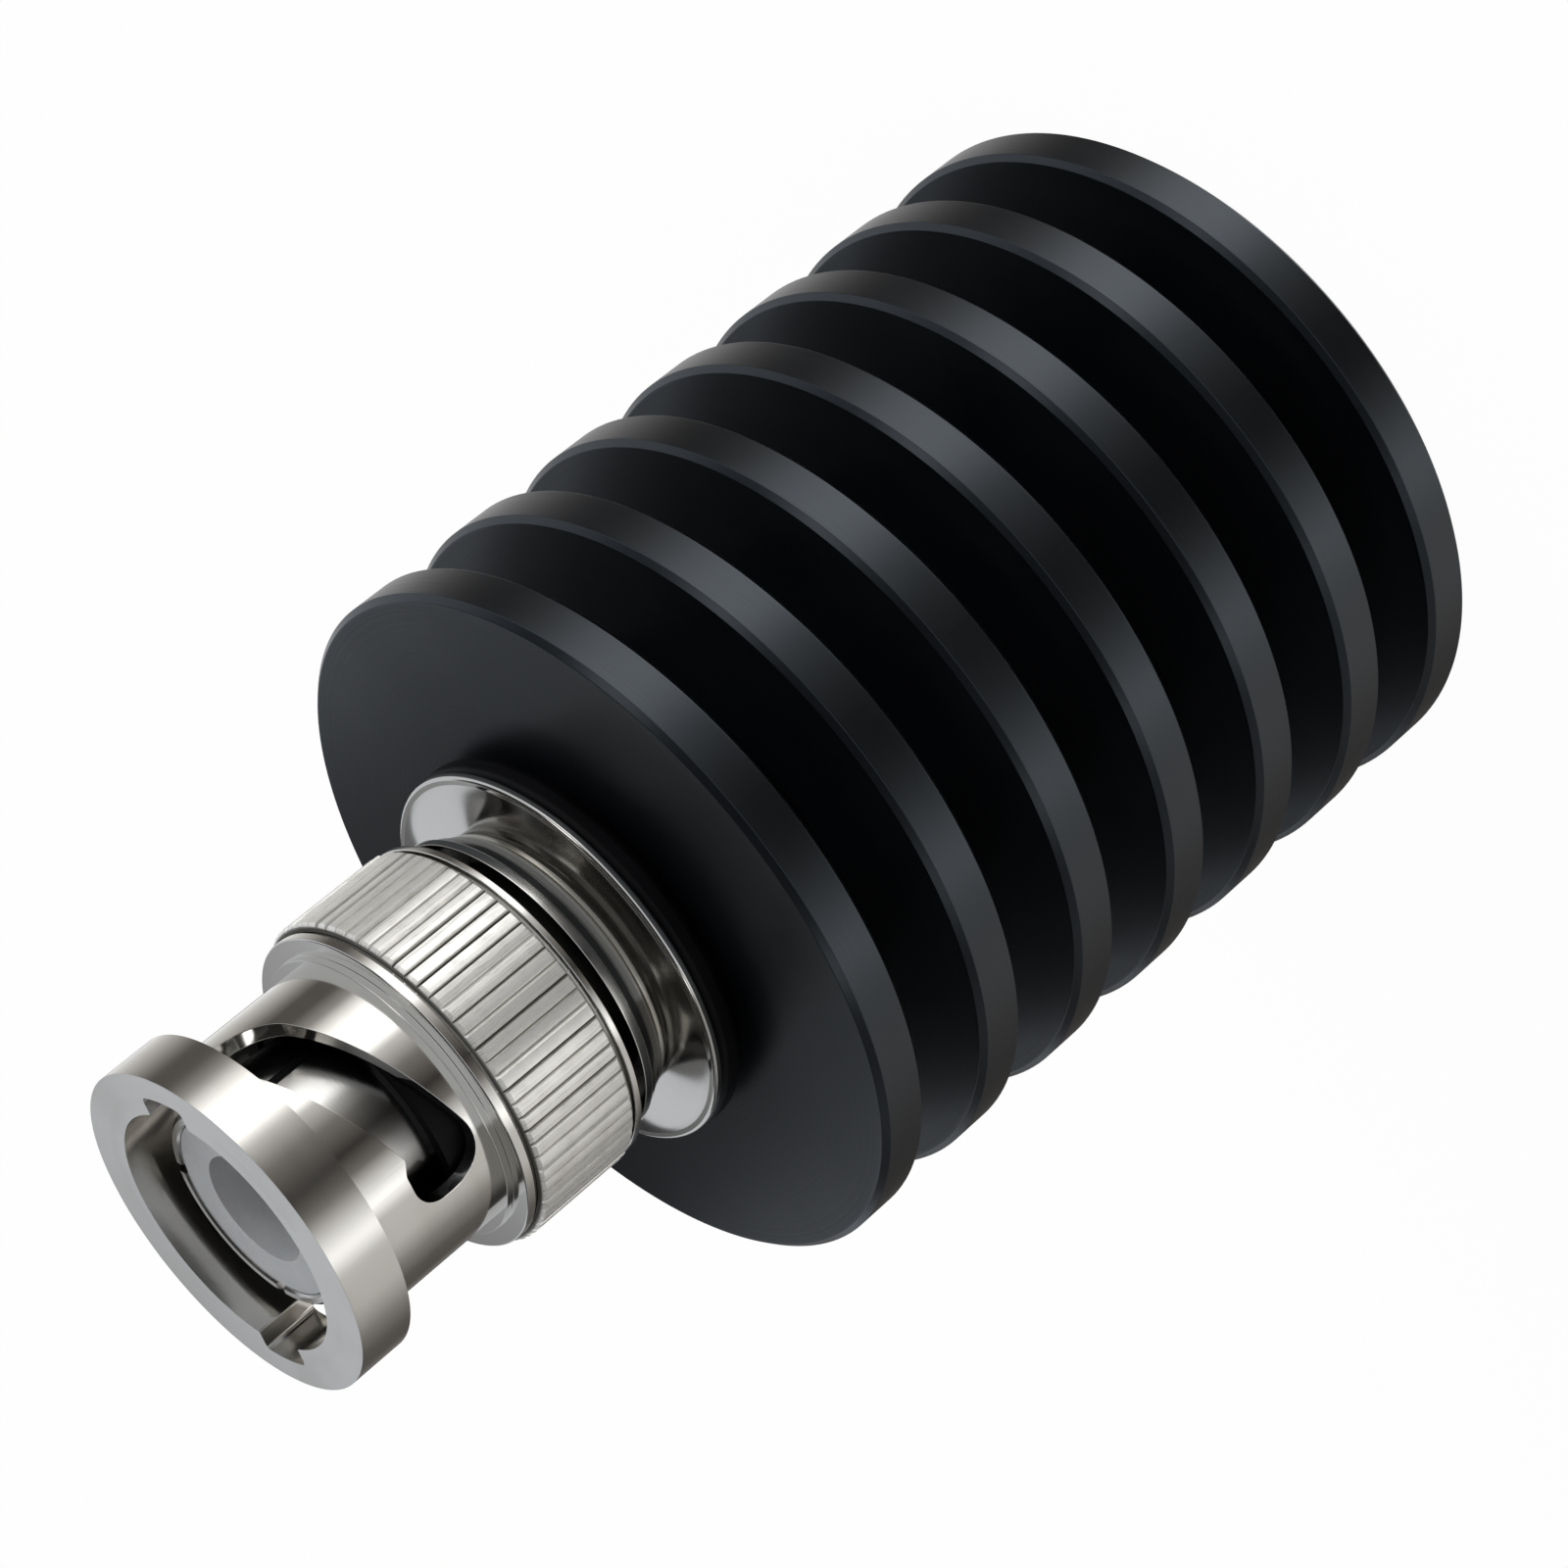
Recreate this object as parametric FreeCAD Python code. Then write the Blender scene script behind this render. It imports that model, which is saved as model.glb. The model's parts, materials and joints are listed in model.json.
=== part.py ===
import FreeCAD, Part
import math
import os

# Coaxial terminator: a finned load resistor housing behind a quarter-turn bayonet plug.
# Millimetres. The axis is Z. The rear face of the heat sink lies on Z = 0 and the plug points up.

os.makedirs("parts", exist_ok=True)
Vector = FreeCAD.Vector
ORIGIN = Vector(0, 0, 0)
AXIS = Vector(0, 0, 1)

# Clearances
fit_clearance = 0.02
running_clearance = 0.05
axial_play = 0.05
land_clearance = 0.15
shoulder_clearance = 0.3
washer_clearance = 0.1

# Heat sink
fin_count = 7
fin_thickness = 2.0
fin_gap = 3.0
fin_diameter = 28.0
fin_chamfer = 0.35
core_diameter = 16.0
sink_floor = 4.0

# Coaxial line: bore over conductor for 50 ohms in air
line_ratio = 2.3
line_diameter = 3.0
socket_depth = 4.0
socket_slots = 4
socket_slot_width = 0.3
socket_wall = 0.73
foot_length = 1.0
bead_seat_depth = 0.45
bead_thickness = 1.7

# Load resistor, its end caps and its ground collet
rod_diameter = 4.0
cap_stand = 0.3
cap_wall = 0.3
cap_end = 0.4
cap_length = 2.0
collet_wall = 1.7
collet_length = 5.5
collet_base = 1.0
collet_slots = 4
collet_slot_width = 0.5

# Tapered outer conductor round the resistor
taper_wall = 0.85
taper_rear_gap = 0.3

# Flange adapter: shank, pilot, trumpet flange and stepped collar
shank_step = 0.55
shank_length = 6.5
flange_diameter = 15.5
flange_rim = 0.4
rim_round = 0.14
pilot_step = 0.95
trumpet_depth = 0.55
trumpet_sag = 0.08
trumpet_neck = 11.0
collar_diameter = 12.4
collar_steps = 3
collar_step_length = 0.43
collar_step_rise = 0.23
collar_groove = 0.1
bead_stand = 2.0

# Seal ring under the flange
seal_ring_proud = 0.15
seal_ring_thickness = 1.4
seal_ring_round = 0.65

# Plug body
body_wall = 0.6
front_land_step = 0.25
shoulder_height = 0.8
shoulder_length = 1.0
shoulder_chamfer = 0.15
front_land_length = 1.0
contact_seat_depth = 2.5

# Outer contact, insulator, pin and face gasket
contact_step = 0.6
contact_root_step = 0.25
contact_wall = 0.45
contact_reach = 7.1
contact_slots = 4
contact_slot_width = 0.4
contact_slot_length = 4.8
contact_lead = 0.15
insulator_recess = 0.1
insulator_cup_diameter = 4.4
insulator_cup_depth = 5.4
pin_diameter = 1.34
pin_recess = 1.3
pin_shoulder_height = 0.43
pin_seat_step = 0.18
pin_shoulder_length = 1.2
pin_tail_length = 3.9
gasket_thickness = 2.1

# Coupling nut
nut_gap = 0.65
nut_travel = 0.7
nut_bore_chamfer = 0.1
rear_ring_step = 0.1
rear_ring_length = 0.45
knurl_wall = 0.8
knurl_flutes = 72
knurl_depth = 0.26
knurl_length = 4.38
knurl_end_chamfer = 0.12
knurl_undercut = 0.15
nose_ring_step = 0.25
nose_ring_length = 0.55
root_step_height = 0.35
root_step_length = 0.28
sleeve_wall = 0.55
sleeve_length = 5.35
collar_wall = 1.7
front_collar_length = 2.2
edge_round = 0.06

# Bayonet: two cam slots in the sleeve and two entry grooves in the front collar
lug_diameter = 2.0
lug_clearance = 0.1
lug_reach = 0.635
slot_count = 2
slot_margin = 0.15
slot_overrun = 1.0
detent_angle = -122.0
turn_angle = 88.0
detent_length = 3.05
detent_round = 1.0
detent_ramp_round = 1.5
ramp_slope = 0.314
ramp_entry_round = 2.6
tongue_height = 0.4
tongue_slope = 0.45
tongue_round = 0.2
tongue_tip = 0.35

# Spring pack that pulls the nut back
retainer_lip = 0.5
retainer_thickness = 0.55
retainer_clearance = 0.2
retainer_gap_angle = 30.0
retainer_groove_depth = 0.35
thrust_washer_thickness = 0.4
wave_thickness = 0.22
wave_count = 3
wave_spare = 0.15

# Diameters that follow from these
cap_diameter = rod_diameter + 2 * cap_wall
collet_diameter = cap_diameter + 2 * collet_wall
taper_rear_bore = cap_diameter + 2 * taper_rear_gap
taper_front_bore = rod_diameter * line_ratio
taper_diameter = taper_front_bore + 2 * taper_wall
shank_diameter = taper_diameter + 2 * shank_step
pilot_diameter = flange_diameter - 2 * pilot_step
seal_ring_diameter = flange_diameter + 2 * seal_ring_proud
line_bore = line_diameter * line_ratio
bead_diameter = line_bore + 2 * bead_seat_depth
body_diameter = bead_diameter + 2 * body_wall
contact_diameter = line_bore + 2 * contact_step
contact_root_diameter = contact_diameter + 2 * contact_root_step
front_land_diameter = body_diameter + 2 * front_land_step
shoulder_diameter = body_diameter + 2 * shoulder_height
nut_cavity_diameter = shoulder_diameter + 2 * shoulder_clearance
washer_bore = body_diameter + 2 * washer_clearance
washer_diameter = nut_cavity_diameter - 4 * washer_clearance
retainer_bore = body_diameter + 2 * retainer_clearance
pin_shoulder_diameter = pin_diameter + 2 * pin_shoulder_height
pin_seat_diameter = pin_diameter + 2 * pin_seat_step
pin_tail_diameter = line_diameter - 2 * socket_wall - 2 * fit_clearance
nut_bore = front_land_diameter + 2 * land_clearance
retainer_groove_diameter = nut_cavity_diameter + 2 * retainer_groove_depth
knurl_diameter = retainer_groove_diameter + 2 * knurl_wall
rear_ring_diameter = knurl_diameter - 2 * rear_ring_step
nose_ring_diameter = knurl_diameter - 2 * nose_ring_step
sleeve_diameter = nut_bore + 2 * sleeve_wall
root_step_diameter = sleeve_diameter + 2 * root_step_height
lug_span = nut_bore + 2 * lug_reach
front_collar_diameter = nut_bore + 2 * collar_wall

# Stations along the axis, from the rear face to the front
sink_length = fin_count * fin_thickness + (fin_count - 1) * fin_gap
shank_rear = sink_length - shank_length
rim_rear = sink_length + seal_ring_thickness
rim_front = rim_rear + flange_rim
collar_rear = rim_front + trumpet_depth
collar_front = collar_rear + collar_steps * collar_step_length
nut_rear = collar_front + nut_gap
knurl_rear = nut_rear + rear_ring_length
knurl_front = knurl_rear + knurl_length
nose_front = knurl_front + nose_ring_length
root_front = nose_front + root_step_length
sleeve_front = root_front + sleeve_length
nut_front = sleeve_front + front_collar_length

# Stations inside
collet_top = sink_floor + collet_length
cap_rear = sink_floor + collet_base
rod_rear = cap_rear + cap_end
cap_front = shank_rear + cap_stand
rod_front = cap_front - cap_end
rod_length = rod_front - rod_rear
body_rear = shank_rear + (taper_front_bore - line_bore) / 2 + bead_stand
retainer_rear = nut_rear + retainer_lip + axial_play
retainer_front = retainer_rear + retainer_thickness
thrust_rear = retainer_front + axial_play / 2
thrust_front = thrust_rear + thrust_washer_thickness
wave_height = nut_travel + 2 * wave_thickness + wave_spare
shoulder_rear = thrust_front + wave_height + axial_play
shoulder_front = shoulder_rear + shoulder_length
land_front = shoulder_front + front_land_length
contact_rear = land_front - contact_seat_depth
gasket_front = land_front + gasket_thickness
contact_front = land_front + contact_reach
pin_shoulder_front = contact_rear + pin_shoulder_length
insulator_front = contact_front - insulator_recess
cup_floor = insulator_front - insulator_cup_depth
pin_tip = contact_front - pin_recess
line_front = contact_rear - axial_play


def rounded_edges(corners):
    """Closed outline through (x, y) or (x, y, radius) corners, as edges in the XZ plane."""
    points = [Vector(c[0], 0, c[1]) for c in corners]
    radii = [c[2] if len(c) > 2 else 0.0 for c in corners]
    ins, mids, outs = [], [], []
    for i, (corner, radius) in enumerate(zip(points, radii)):
        back = (points[i - 1] - corner).normalize()
        ahead = (points[(i + 1) % len(points)] - corner).normalize()
        half = back.getAngle(ahead) / 2
        if radius <= 0:
            ins.append(corner)
            mids.append(None)
            outs.append(corner)
            continue
        reach = radius / math.tan(half)
        bisector = (back + ahead).normalize()
        centre = corner + bisector * (radius / math.sin(half))
        ins.append(corner + back * reach)
        mids.append(centre - bisector * radius)
        outs.append(corner + ahead * reach)
    edges = []
    for i in range(len(points)):
        if mids[i] is not None:
            edges.append(Part.Arc(ins[i], mids[i], outs[i]).toShape())
        following = ins[(i + 1) % len(points)]
        if outs[i].distanceToPoint(following) > 1e-7:
            edges.append(Part.LineSegment(outs[i], following).toShape())
    return edges


def turned(*corners):
    """Solid of revolution from (radius, height) corners, each with an optional corner radius."""
    wire = Part.Wire(rounded_edges(corners))
    return Part.Face(wire).revolve(ORIGIN, AXIS, 360)


def ring(inner, outer, low, high, edge=0.0):
    """Plain ring between two diameters and two heights; edge rounds its outer corners."""
    return turned((inner / 2, low), (outer / 2, low, edge), (outer / 2, high, edge), (inner / 2, high))


def radial_slots(count, width, reach, low, high, first=0.0):
    """Flat cutters out from the axis that split a tube into fingers."""
    blades = []
    for i in range(count):
        blade = Part.makeBox(reach, width, high - low, Vector(0, -width / 2, low))
        blade.rotate(ORIGIN, AXIS, first + 360.0 * i / count)
        blades.append(blade)
    return blades[0].fuse(blades[1:]) if len(blades) > 1 else blades[0]


def sewn_solid(faces):
    """Solid bounded by faces that share their edges."""
    shell = Part.makeShell(faces)
    shell.sewShape()
    solid = Part.Solid(Part.Shell(shell.Faces))
    if solid.Volume < 0:
        solid.reverse()
    return solid


def heat_sink():
    """Turned body: equal fins on one core, bored from the front in three steps."""
    profile = []
    for i in range(fin_count):
        low = i * (fin_thickness + fin_gap)
        high = low + fin_thickness
        if i:
            profile.append((core_diameter / 2, low))
        profile.append((fin_diameter / 2 - fin_chamfer, low))
        profile.append((fin_diameter / 2, low + fin_chamfer))
        profile.append((fin_diameter / 2, high - fin_chamfer))
        profile.append((fin_diameter / 2 - fin_chamfer, high))
        if i < fin_count - 1:
            profile.append((core_diameter / 2, high))
    shank_bore = shank_diameter / 2 + fit_clearance
    cavity = taper_diameter / 2 + fit_clearance
    pocket = collet_diameter / 2 + fit_clearance
    profile += [(shank_bore, sink_length), (shank_bore, shank_rear), (cavity, shank_rear)]
    profile += [(cavity, collet_top), (pocket, collet_top), (pocket, sink_floor), (0, sink_floor), (0, 0)]
    return turned(*profile)


def seal_ring():
    """Black ring that the flange clamps against the first fin."""
    inner = pilot_diameter + 2 * fit_clearance
    return ring(inner, seal_ring_diameter, sink_length, rim_rear, seal_ring_round)


def flange_adapter():
    """Trumpet flange and stepped collar on a shank, bored for the plug body and coned down to the line."""
    bore = body_diameter / 2 + fit_clearance
    rim = flange_diameter / 2
    neck = trumpet_neck / 2
    shank = shank_diameter / 2
    outer = [(taper_front_bore / 2, shank_rear), (shank, shank_rear), (shank, sink_length)]
    outer += [(pilot_diameter / 2, sink_length), (pilot_diameter / 2, rim_rear)]
    outer += [(rim, rim_rear, rim_round), (rim, rim_front, rim_round), (rim - 2 * rim_round, rim_front)]
    trumpet_start = Vector(outer[-1][0], 0, outer[-1][1])
    trumpet_end = Vector(neck, 0, collar_rear)
    chord = trumpet_end - trumpet_start
    inward = Vector(chord.z, 0, -chord.x).normalize()
    trumpet_middle = trumpet_start + chord * 0.5 - inward * trumpet_sag
    inside = [(neck, collar_rear), (bore, collar_rear), (bore, body_rear), (line_bore / 2, body_rear)]
    rear_profile = rounded_edges(outer + inside)
    straight = [e for e in rear_profile if not joins(e, trumpet_start, trumpet_end)]
    trumpet = Part.Arc(trumpet_start, trumpet_middle, trumpet_end).toShape()
    rear = Part.Face(Part.Wire(Part.__sortEdges__(straight + [trumpet]))).revolve(ORIGIN, AXIS, 360)
    steps = []
    for i in range(collar_steps):
        low = collar_rear + i * collar_step_length
        high = low + collar_step_length
        radius = collar_diameter / 2 - (collar_steps - 1 - i) * collar_step_rise
        steps += [(radius - collar_groove, low), (radius, low + collar_groove), (radius, high)]
    collar = turned((bore, collar_rear), *steps, (bore, collar_front))
    return rear.fuse(collar).removeSplitter()


def joins(edge, a, b):
    """True when an edge runs between the points a and b."""
    ends = [v.Point for v in edge.Vertexes]
    if len(ends) < 2:
        return False
    forward = ends[0].distanceToPoint(a) + ends[-1].distanceToPoint(b)
    backward = ends[0].distanceToPoint(b) + ends[-1].distanceToPoint(a)
    return min(forward, backward) < 1e-6


def plug_body():
    """Neck, shoulder that the nut pulls on, front land for the gasket, and a line bore with two seats."""
    bead_seat = bead_diameter / 2 + fit_clearance
    contact_seat = contact_root_diameter / 2 + fit_clearance
    return turned(
        (bead_seat, body_rear),
        (body_diameter / 2, body_rear),
        (body_diameter / 2, shoulder_rear),
        (shoulder_diameter / 2 - shoulder_chamfer, shoulder_rear),
        (shoulder_diameter / 2, shoulder_rear + shoulder_chamfer),
        (shoulder_diameter / 2, shoulder_front),
        (front_land_diameter / 2, shoulder_front),
        (front_land_diameter / 2, land_front),
        (contact_seat, land_front),
        (contact_seat, contact_rear),
        (line_bore / 2, contact_rear),
        (line_bore / 2, body_rear + bead_thickness),
        (bead_seat, body_rear + bead_thickness),
    )


def outer_contact():
    """Thin tube, slotted into spring fingers, with a lead on both front edges."""
    root = contact_root_diameter / 2
    outer = contact_diameter / 2
    inner = outer - contact_wall
    tube = turned(
        (inner, contact_rear),
        (root, contact_rear),
        (root, gasket_front),
        (outer, gasket_front),
        (outer, contact_front - contact_lead),
        (outer - contact_lead, contact_front),
        (inner + contact_lead / 2, contact_front),
        (inner, contact_front - contact_lead / 2),
    )
    low = contact_front - contact_slot_length
    high = contact_front + slot_overrun
    return tube.cut(radial_slots(contact_slots, contact_slot_width, contact_diameter, low, high, 45.0))


def contact_insulator():
    """Insulating cup that carries the pin in its web."""
    outer = contact_diameter / 2 - contact_wall - fit_clearance
    return turned(
        (pin_shoulder_diameter / 2 + fit_clearance, contact_rear),
        (outer, contact_rear),
        (outer, insulator_front),
        (insulator_cup_diameter / 2, insulator_front),
        (insulator_cup_diameter / 2, cup_floor),
        (pin_seat_diameter / 2 + fit_clearance, cup_floor),
        (pin_seat_diameter / 2 + fit_clearance, pin_shoulder_front),
        (pin_shoulder_diameter / 2 + fit_clearance, pin_shoulder_front),
    )


def centre_pin():
    """Pin with a rounded tip, a captive shoulder and a tail that plugs into the line."""
    tip_round = pin_diameter * 0.45
    tail_rear = contact_rear - pin_tail_length
    return turned(
        (0, tail_rear),
        (pin_tail_diameter / 2, tail_rear, 0.2),
        (pin_tail_diameter / 2, contact_rear),
        (pin_shoulder_diameter / 2, contact_rear),
        (pin_shoulder_diameter / 2, pin_shoulder_front),
        (pin_seat_diameter / 2, pin_shoulder_front),
        (pin_seat_diameter / 2, cup_floor),
        (pin_diameter / 2, cup_floor),
        (pin_diameter / 2, pin_tip, tip_round),
        (0, pin_tip),
    )


def face_gasket():
    """Thick gasket round the root of the outer contact."""
    bore = contact_root_diameter + 2 * fit_clearance
    return ring(bore, front_land_diameter, land_front, gasket_front)


def inner_conductor():
    """Stem from the resistor's front cap to the pin, with a split socket."""
    socket = pin_tail_diameter / 2 + fit_clearance
    stem = turned(
        (0, cap_front),
        (cap_diameter / 2, cap_front),
        (cap_diameter / 2, cap_front + foot_length),
        (line_diameter / 2, cap_front + foot_length),
        (line_diameter / 2, line_front),
        (socket, line_front),
        (socket, line_front - socket_depth),
        (0, line_front - socket_depth),
    )
    low = line_front - socket_depth * 0.75
    blades = radial_slots(socket_slots, socket_slot_width, line_diameter, low, line_front + 1)
    return stem.cut(blades)


def support_bead():
    """Insulating bead that centres the line in the plug body."""
    return ring(line_diameter + 2 * fit_clearance, bead_diameter, body_rear, body_rear + bead_thickness)


def taper_sleeve():
    """Outer conductor round the resistor: its bore tapers from the line's size down to the rod's."""
    return turned(
        (taper_rear_bore / 2, collet_top),
        (taper_diameter / 2, collet_top),
        (taper_diameter / 2, shank_rear),
        (taper_front_bore / 2, shank_rear),
    )


def resistor_rod():
    """Ceramic film rod."""
    return Part.makeCylinder(rod_diameter / 2, rod_length, Vector(0, 0, rod_rear))


def resistor_cap(outer_face, inward):
    """Plated cup over one end of the rod; inward is +1 for the rear cap and -1 for the front one."""
    floor = outer_face + inward * cap_end
    mouth = outer_face + inward * cap_length
    inner = rod_diameter / 2 + fit_clearance
    outer = cap_diameter / 2
    cup = [(0, outer_face), (outer, outer_face), (outer, mouth)]
    recess = [(inner, mouth), (inner, floor), (0, floor)]
    return turned(*cup, *recess)


def ground_collet():
    """Spring collet that grips the rear cap and grounds it in the heat sink's floor."""
    grip = cap_diameter / 2 + fit_clearance
    cup = turned(
        (0, sink_floor),
        (collet_diameter / 2, sink_floor),
        (collet_diameter / 2, collet_top),
        (taper_rear_bore / 2, collet_top),
        (taper_rear_bore / 2, cap_rear + cap_length),
        (grip, cap_rear + cap_length),
        (grip, cap_rear),
        (0, cap_rear),
    )
    blades = radial_slots(collet_slots, collet_slot_width, collet_diameter, cap_rear, collet_top + 1)
    return cup.cut(blades)


def wavy_edge(radius, height):
    """Closed wavy line on a cylinder: the wave washer's edge."""
    amplitude = (wave_height - wave_thickness) / 2
    samples = 8 * wave_count
    points = []
    for i in range(samples):
        angle = 2 * math.pi * i / samples
        rise = amplitude * math.cos(wave_count * angle)
        points.append(Vector(radius * math.cos(angle), radius * math.sin(angle), height + rise))
    curve = Part.BSplineCurve()
    curve.interpolate(Points=points, PeriodicFlag=True)
    return curve.toShape()


def wave_washer():
    """Thin spring washer with equal waves, between the thrust washer and the body's shoulder."""
    middle = (thrust_front + shoulder_rear) / 2
    low = middle - wave_thickness / 2
    high = middle + wave_thickness / 2
    inner = washer_bore / 2
    outer = washer_diameter / 2
    loops = [wavy_edge(inner, low), wavy_edge(outer, low), wavy_edge(outer, high), wavy_edge(inner, high)]
    return sewn_solid([Part.makeRuledSurface(loops[i], loops[(i + 1) % 4]) for i in range(4)])


def thrust_washer():
    """Flat washer that spreads the wave washer's load on the retaining ring."""
    return ring(washer_bore, washer_diameter, thrust_rear, thrust_front)


def retaining_ring():
    """Open snap ring in the groove behind the washers."""
    outer = retainer_groove_diameter - 2 * running_clearance
    whole = ring(retainer_bore, outer, retainer_rear, retainer_front)
    base = Vector(0, 0, retainer_rear - retainer_thickness)
    return whole.cut(Part.makeCylinder(outer, 3 * retainer_thickness, base, AXIS, retainer_gap_angle))


def knurl_band():
    """Straight flutes round the nut, with both ends chamfered."""
    crest = knurl_diameter / 2
    root = crest - knurl_depth
    pitch = 360.0 / knurl_flutes
    points = []
    for i in range(knurl_flutes):
        for share, radius in ((0.0, root), (0.32, crest), (0.68, crest)):
            angle = math.radians((i + share) * pitch)
            points.append(Vector(radius * math.cos(angle), radius * math.sin(angle), knurl_rear))
    face = Part.Face(Part.makePolygon(points + points[:1]))
    fluted = face.extrude(Vector(0, 0, knurl_length))
    blank = turned(
        (0, knurl_rear),
        (crest - knurl_end_chamfer, knurl_rear),
        (crest, knurl_rear + knurl_end_chamfer),
        (crest, knurl_front - knurl_end_chamfer),
        (crest - knurl_end_chamfer, knurl_front),
        (0, knurl_front),
    )
    return fluted.common(blank)


def slot_outline():
    """Cam slot laid flat on the sleeve: x runs along the arc from the detent, y along the axis."""
    sleeve_radius = sleeve_diameter / 2
    half_width = lug_diameter / 2 + lug_clearance / 2
    entry_wall = sleeve_radius * math.radians(turn_angle) + half_width
    detent_rear = root_front + slot_margin
    detent_front = detent_rear + detent_length
    ramp_at_detent = detent_rear - ramp_slope * half_width
    top = sleeve_front + slot_overrun
    tongue_base = detent_front - tongue_height
    tongue_top = half_width + tongue_slope * (top - tongue_base)
    return [
        (entry_wall, top),
        (tongue_top, top),
        (half_width, tongue_base, tongue_round),
        (half_width * 0.52, detent_front, tongue_tip),
        (-half_width, detent_front, detent_round),
        (-half_width, ramp_at_detent, detent_ramp_round),
        (entry_wall, ramp_at_detent + ramp_slope * (entry_wall + half_width), ramp_entry_round),
    ]


def wrapped(edge, radius):
    """The same edge wrapped round a cylinder; arc lengths are those of the sleeve's surface."""
    samples = 13
    points = []
    for flat in edge.discretize(samples):
        angle = flat.x / (sleeve_diameter / 2) + math.radians(detent_angle)
        points.append(Vector(radius * math.cos(angle), radius * math.sin(angle), flat.z))
    curve = Part.BSplineCurve()
    curve.interpolate(Points=points)
    return curve.toShape()


def slot_cutter():
    """Solid through the sleeve's wall with radial sides, from the laid-out cam slot."""
    flat = rounded_edges(slot_outline())
    inner_radius = nut_bore / 2 - slot_overrun
    outer_radius = knurl_diameter / 2 + slot_overrun
    inner = [wrapped(edge, inner_radius) for edge in flat]
    outer = [wrapped(edge, outer_radius) for edge in flat]
    walls = [Part.makeRuledSurface(a, b) for a, b in zip(inner, outer)]
    caps = [Part.makeFilledFace(Part.__sortEdges__(inner)), Part.makeFilledFace(Part.__sortEdges__(outer))]
    return sewn_solid(walls + caps)


def coupling_nut():
    """Bayonet nut in one piece: knurl, smooth rings, cam-slotted sleeve and grooved front collar."""
    bore = nut_bore / 2
    cavity = nut_cavity_diameter / 2
    groove = retainer_groove_diameter / 2
    step = shoulder_front + axial_play
    groove_rear = retainer_rear - axial_play
    groove_front = retainer_front + axial_play
    knurl_core = knurl_diameter / 2 - knurl_depth * 1.4
    nose = nose_ring_diameter / 2
    sleeve = sleeve_diameter / 2
    core = turned(
        (cavity, nut_rear),
        (rear_ring_diameter / 2, nut_rear, edge_round),
        (rear_ring_diameter / 2, knurl_rear - knurl_undercut, edge_round),
        (knurl_core, knurl_rear - knurl_undercut),
        (knurl_core, knurl_front + knurl_undercut),
        (nose, knurl_front + knurl_undercut, edge_round),
        (nose, nose_front, edge_round),
        (root_step_diameter / 2, nose_front),
        (root_step_diameter / 2, root_front, edge_round),
        (sleeve, root_front),
        (sleeve, sleeve_front),
        (bore, sleeve_front),
        (bore, step),
        (cavity, step),
        (cavity, groove_front),
        (groove, groove_front),
        (groove, groove_rear),
        (cavity, groove_rear),
    )
    band_bore = knurl_core - knurl_depth / 2
    band_base = Vector(0, 0, knurl_rear - knurl_length)
    band = knurl_band().cut(Part.makeCylinder(band_bore, 3 * knurl_length, band_base))
    cutter = slot_cutter()
    for i in range(slot_count):
        turned_cutter = cutter.copy()
        turned_cutter.rotate(ORIGIN, AXIS, 360.0 * i / slot_count)
        core = core.cut(turned_cutter)
    collar = turned(
        (bore, sleeve_front),
        (front_collar_diameter / 2, sleeve_front, edge_round),
        (front_collar_diameter / 2, nut_front, edge_round),
        (bore + nut_bore_chamfer, nut_front),
        (bore, nut_front - nut_bore_chamfer),
    )
    lug_width = lug_diameter + 2 * lug_clearance
    groove_radius = lug_span / 2 + lug_clearance
    well_length = 3 * front_collar_length
    well_base = sleeve_front - front_collar_length
    well = Part.makeCylinder(groove_radius, well_length, Vector(0, 0, well_base))
    for i in range(slot_count):
        corner = Vector(0, -lug_width / 2, well_base)
        groove_box = Part.makeBox(2 * groove_radius, lug_width, well_length, corner)
        groove_box.rotate(ORIGIN, AXIS, detent_angle + turn_angle + 360.0 * i / slot_count)
        collar = collar.cut(groove_box.common(well))
    return core.fuse([band, collar]).removeSplitter()


PIECES = {
    "heat_sink": heat_sink(),
    "seal_ring": seal_ring(),
    "flange_adapter": flange_adapter(),
    "plug_body": plug_body(),
    "outer_contact": outer_contact(),
    "contact_insulator": contact_insulator(),
    "centre_pin": centre_pin(),
    "face_gasket": face_gasket(),
    "wave_washer": wave_washer(),
    "thrust_washer": thrust_washer(),
    "retaining_ring": retaining_ring(),
    "coupling_nut": coupling_nut(),
    "support_bead": support_bead(),
    "inner_conductor": inner_conductor(),
    "taper_sleeve": taper_sleeve(),
    "resistor_rod": resistor_rod(),
    "resistor_front_cap": resistor_cap(cap_front, -1),
    "resistor_rear_cap": resistor_cap(cap_rear, 1),
    "ground_collet": ground_collet(),
}

for name, shape in PIECES.items():
    shape.exportStep(f"parts/{name}.step")
    print(f"{name}: {len(shape.Solids)} solid, valid {shape.isValid()}, {shape.Volume:.2f} mm3")
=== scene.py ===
"""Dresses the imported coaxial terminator: a black finned heat sink behind a bright quarter-turn plug."""

import json
import logging
import math
import random
from dataclasses import dataclass, replace
from enum import Enum
from typing import Callable, Sequence

import bmesh
import bpy
from mathutils import Matrix, Vector


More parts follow.
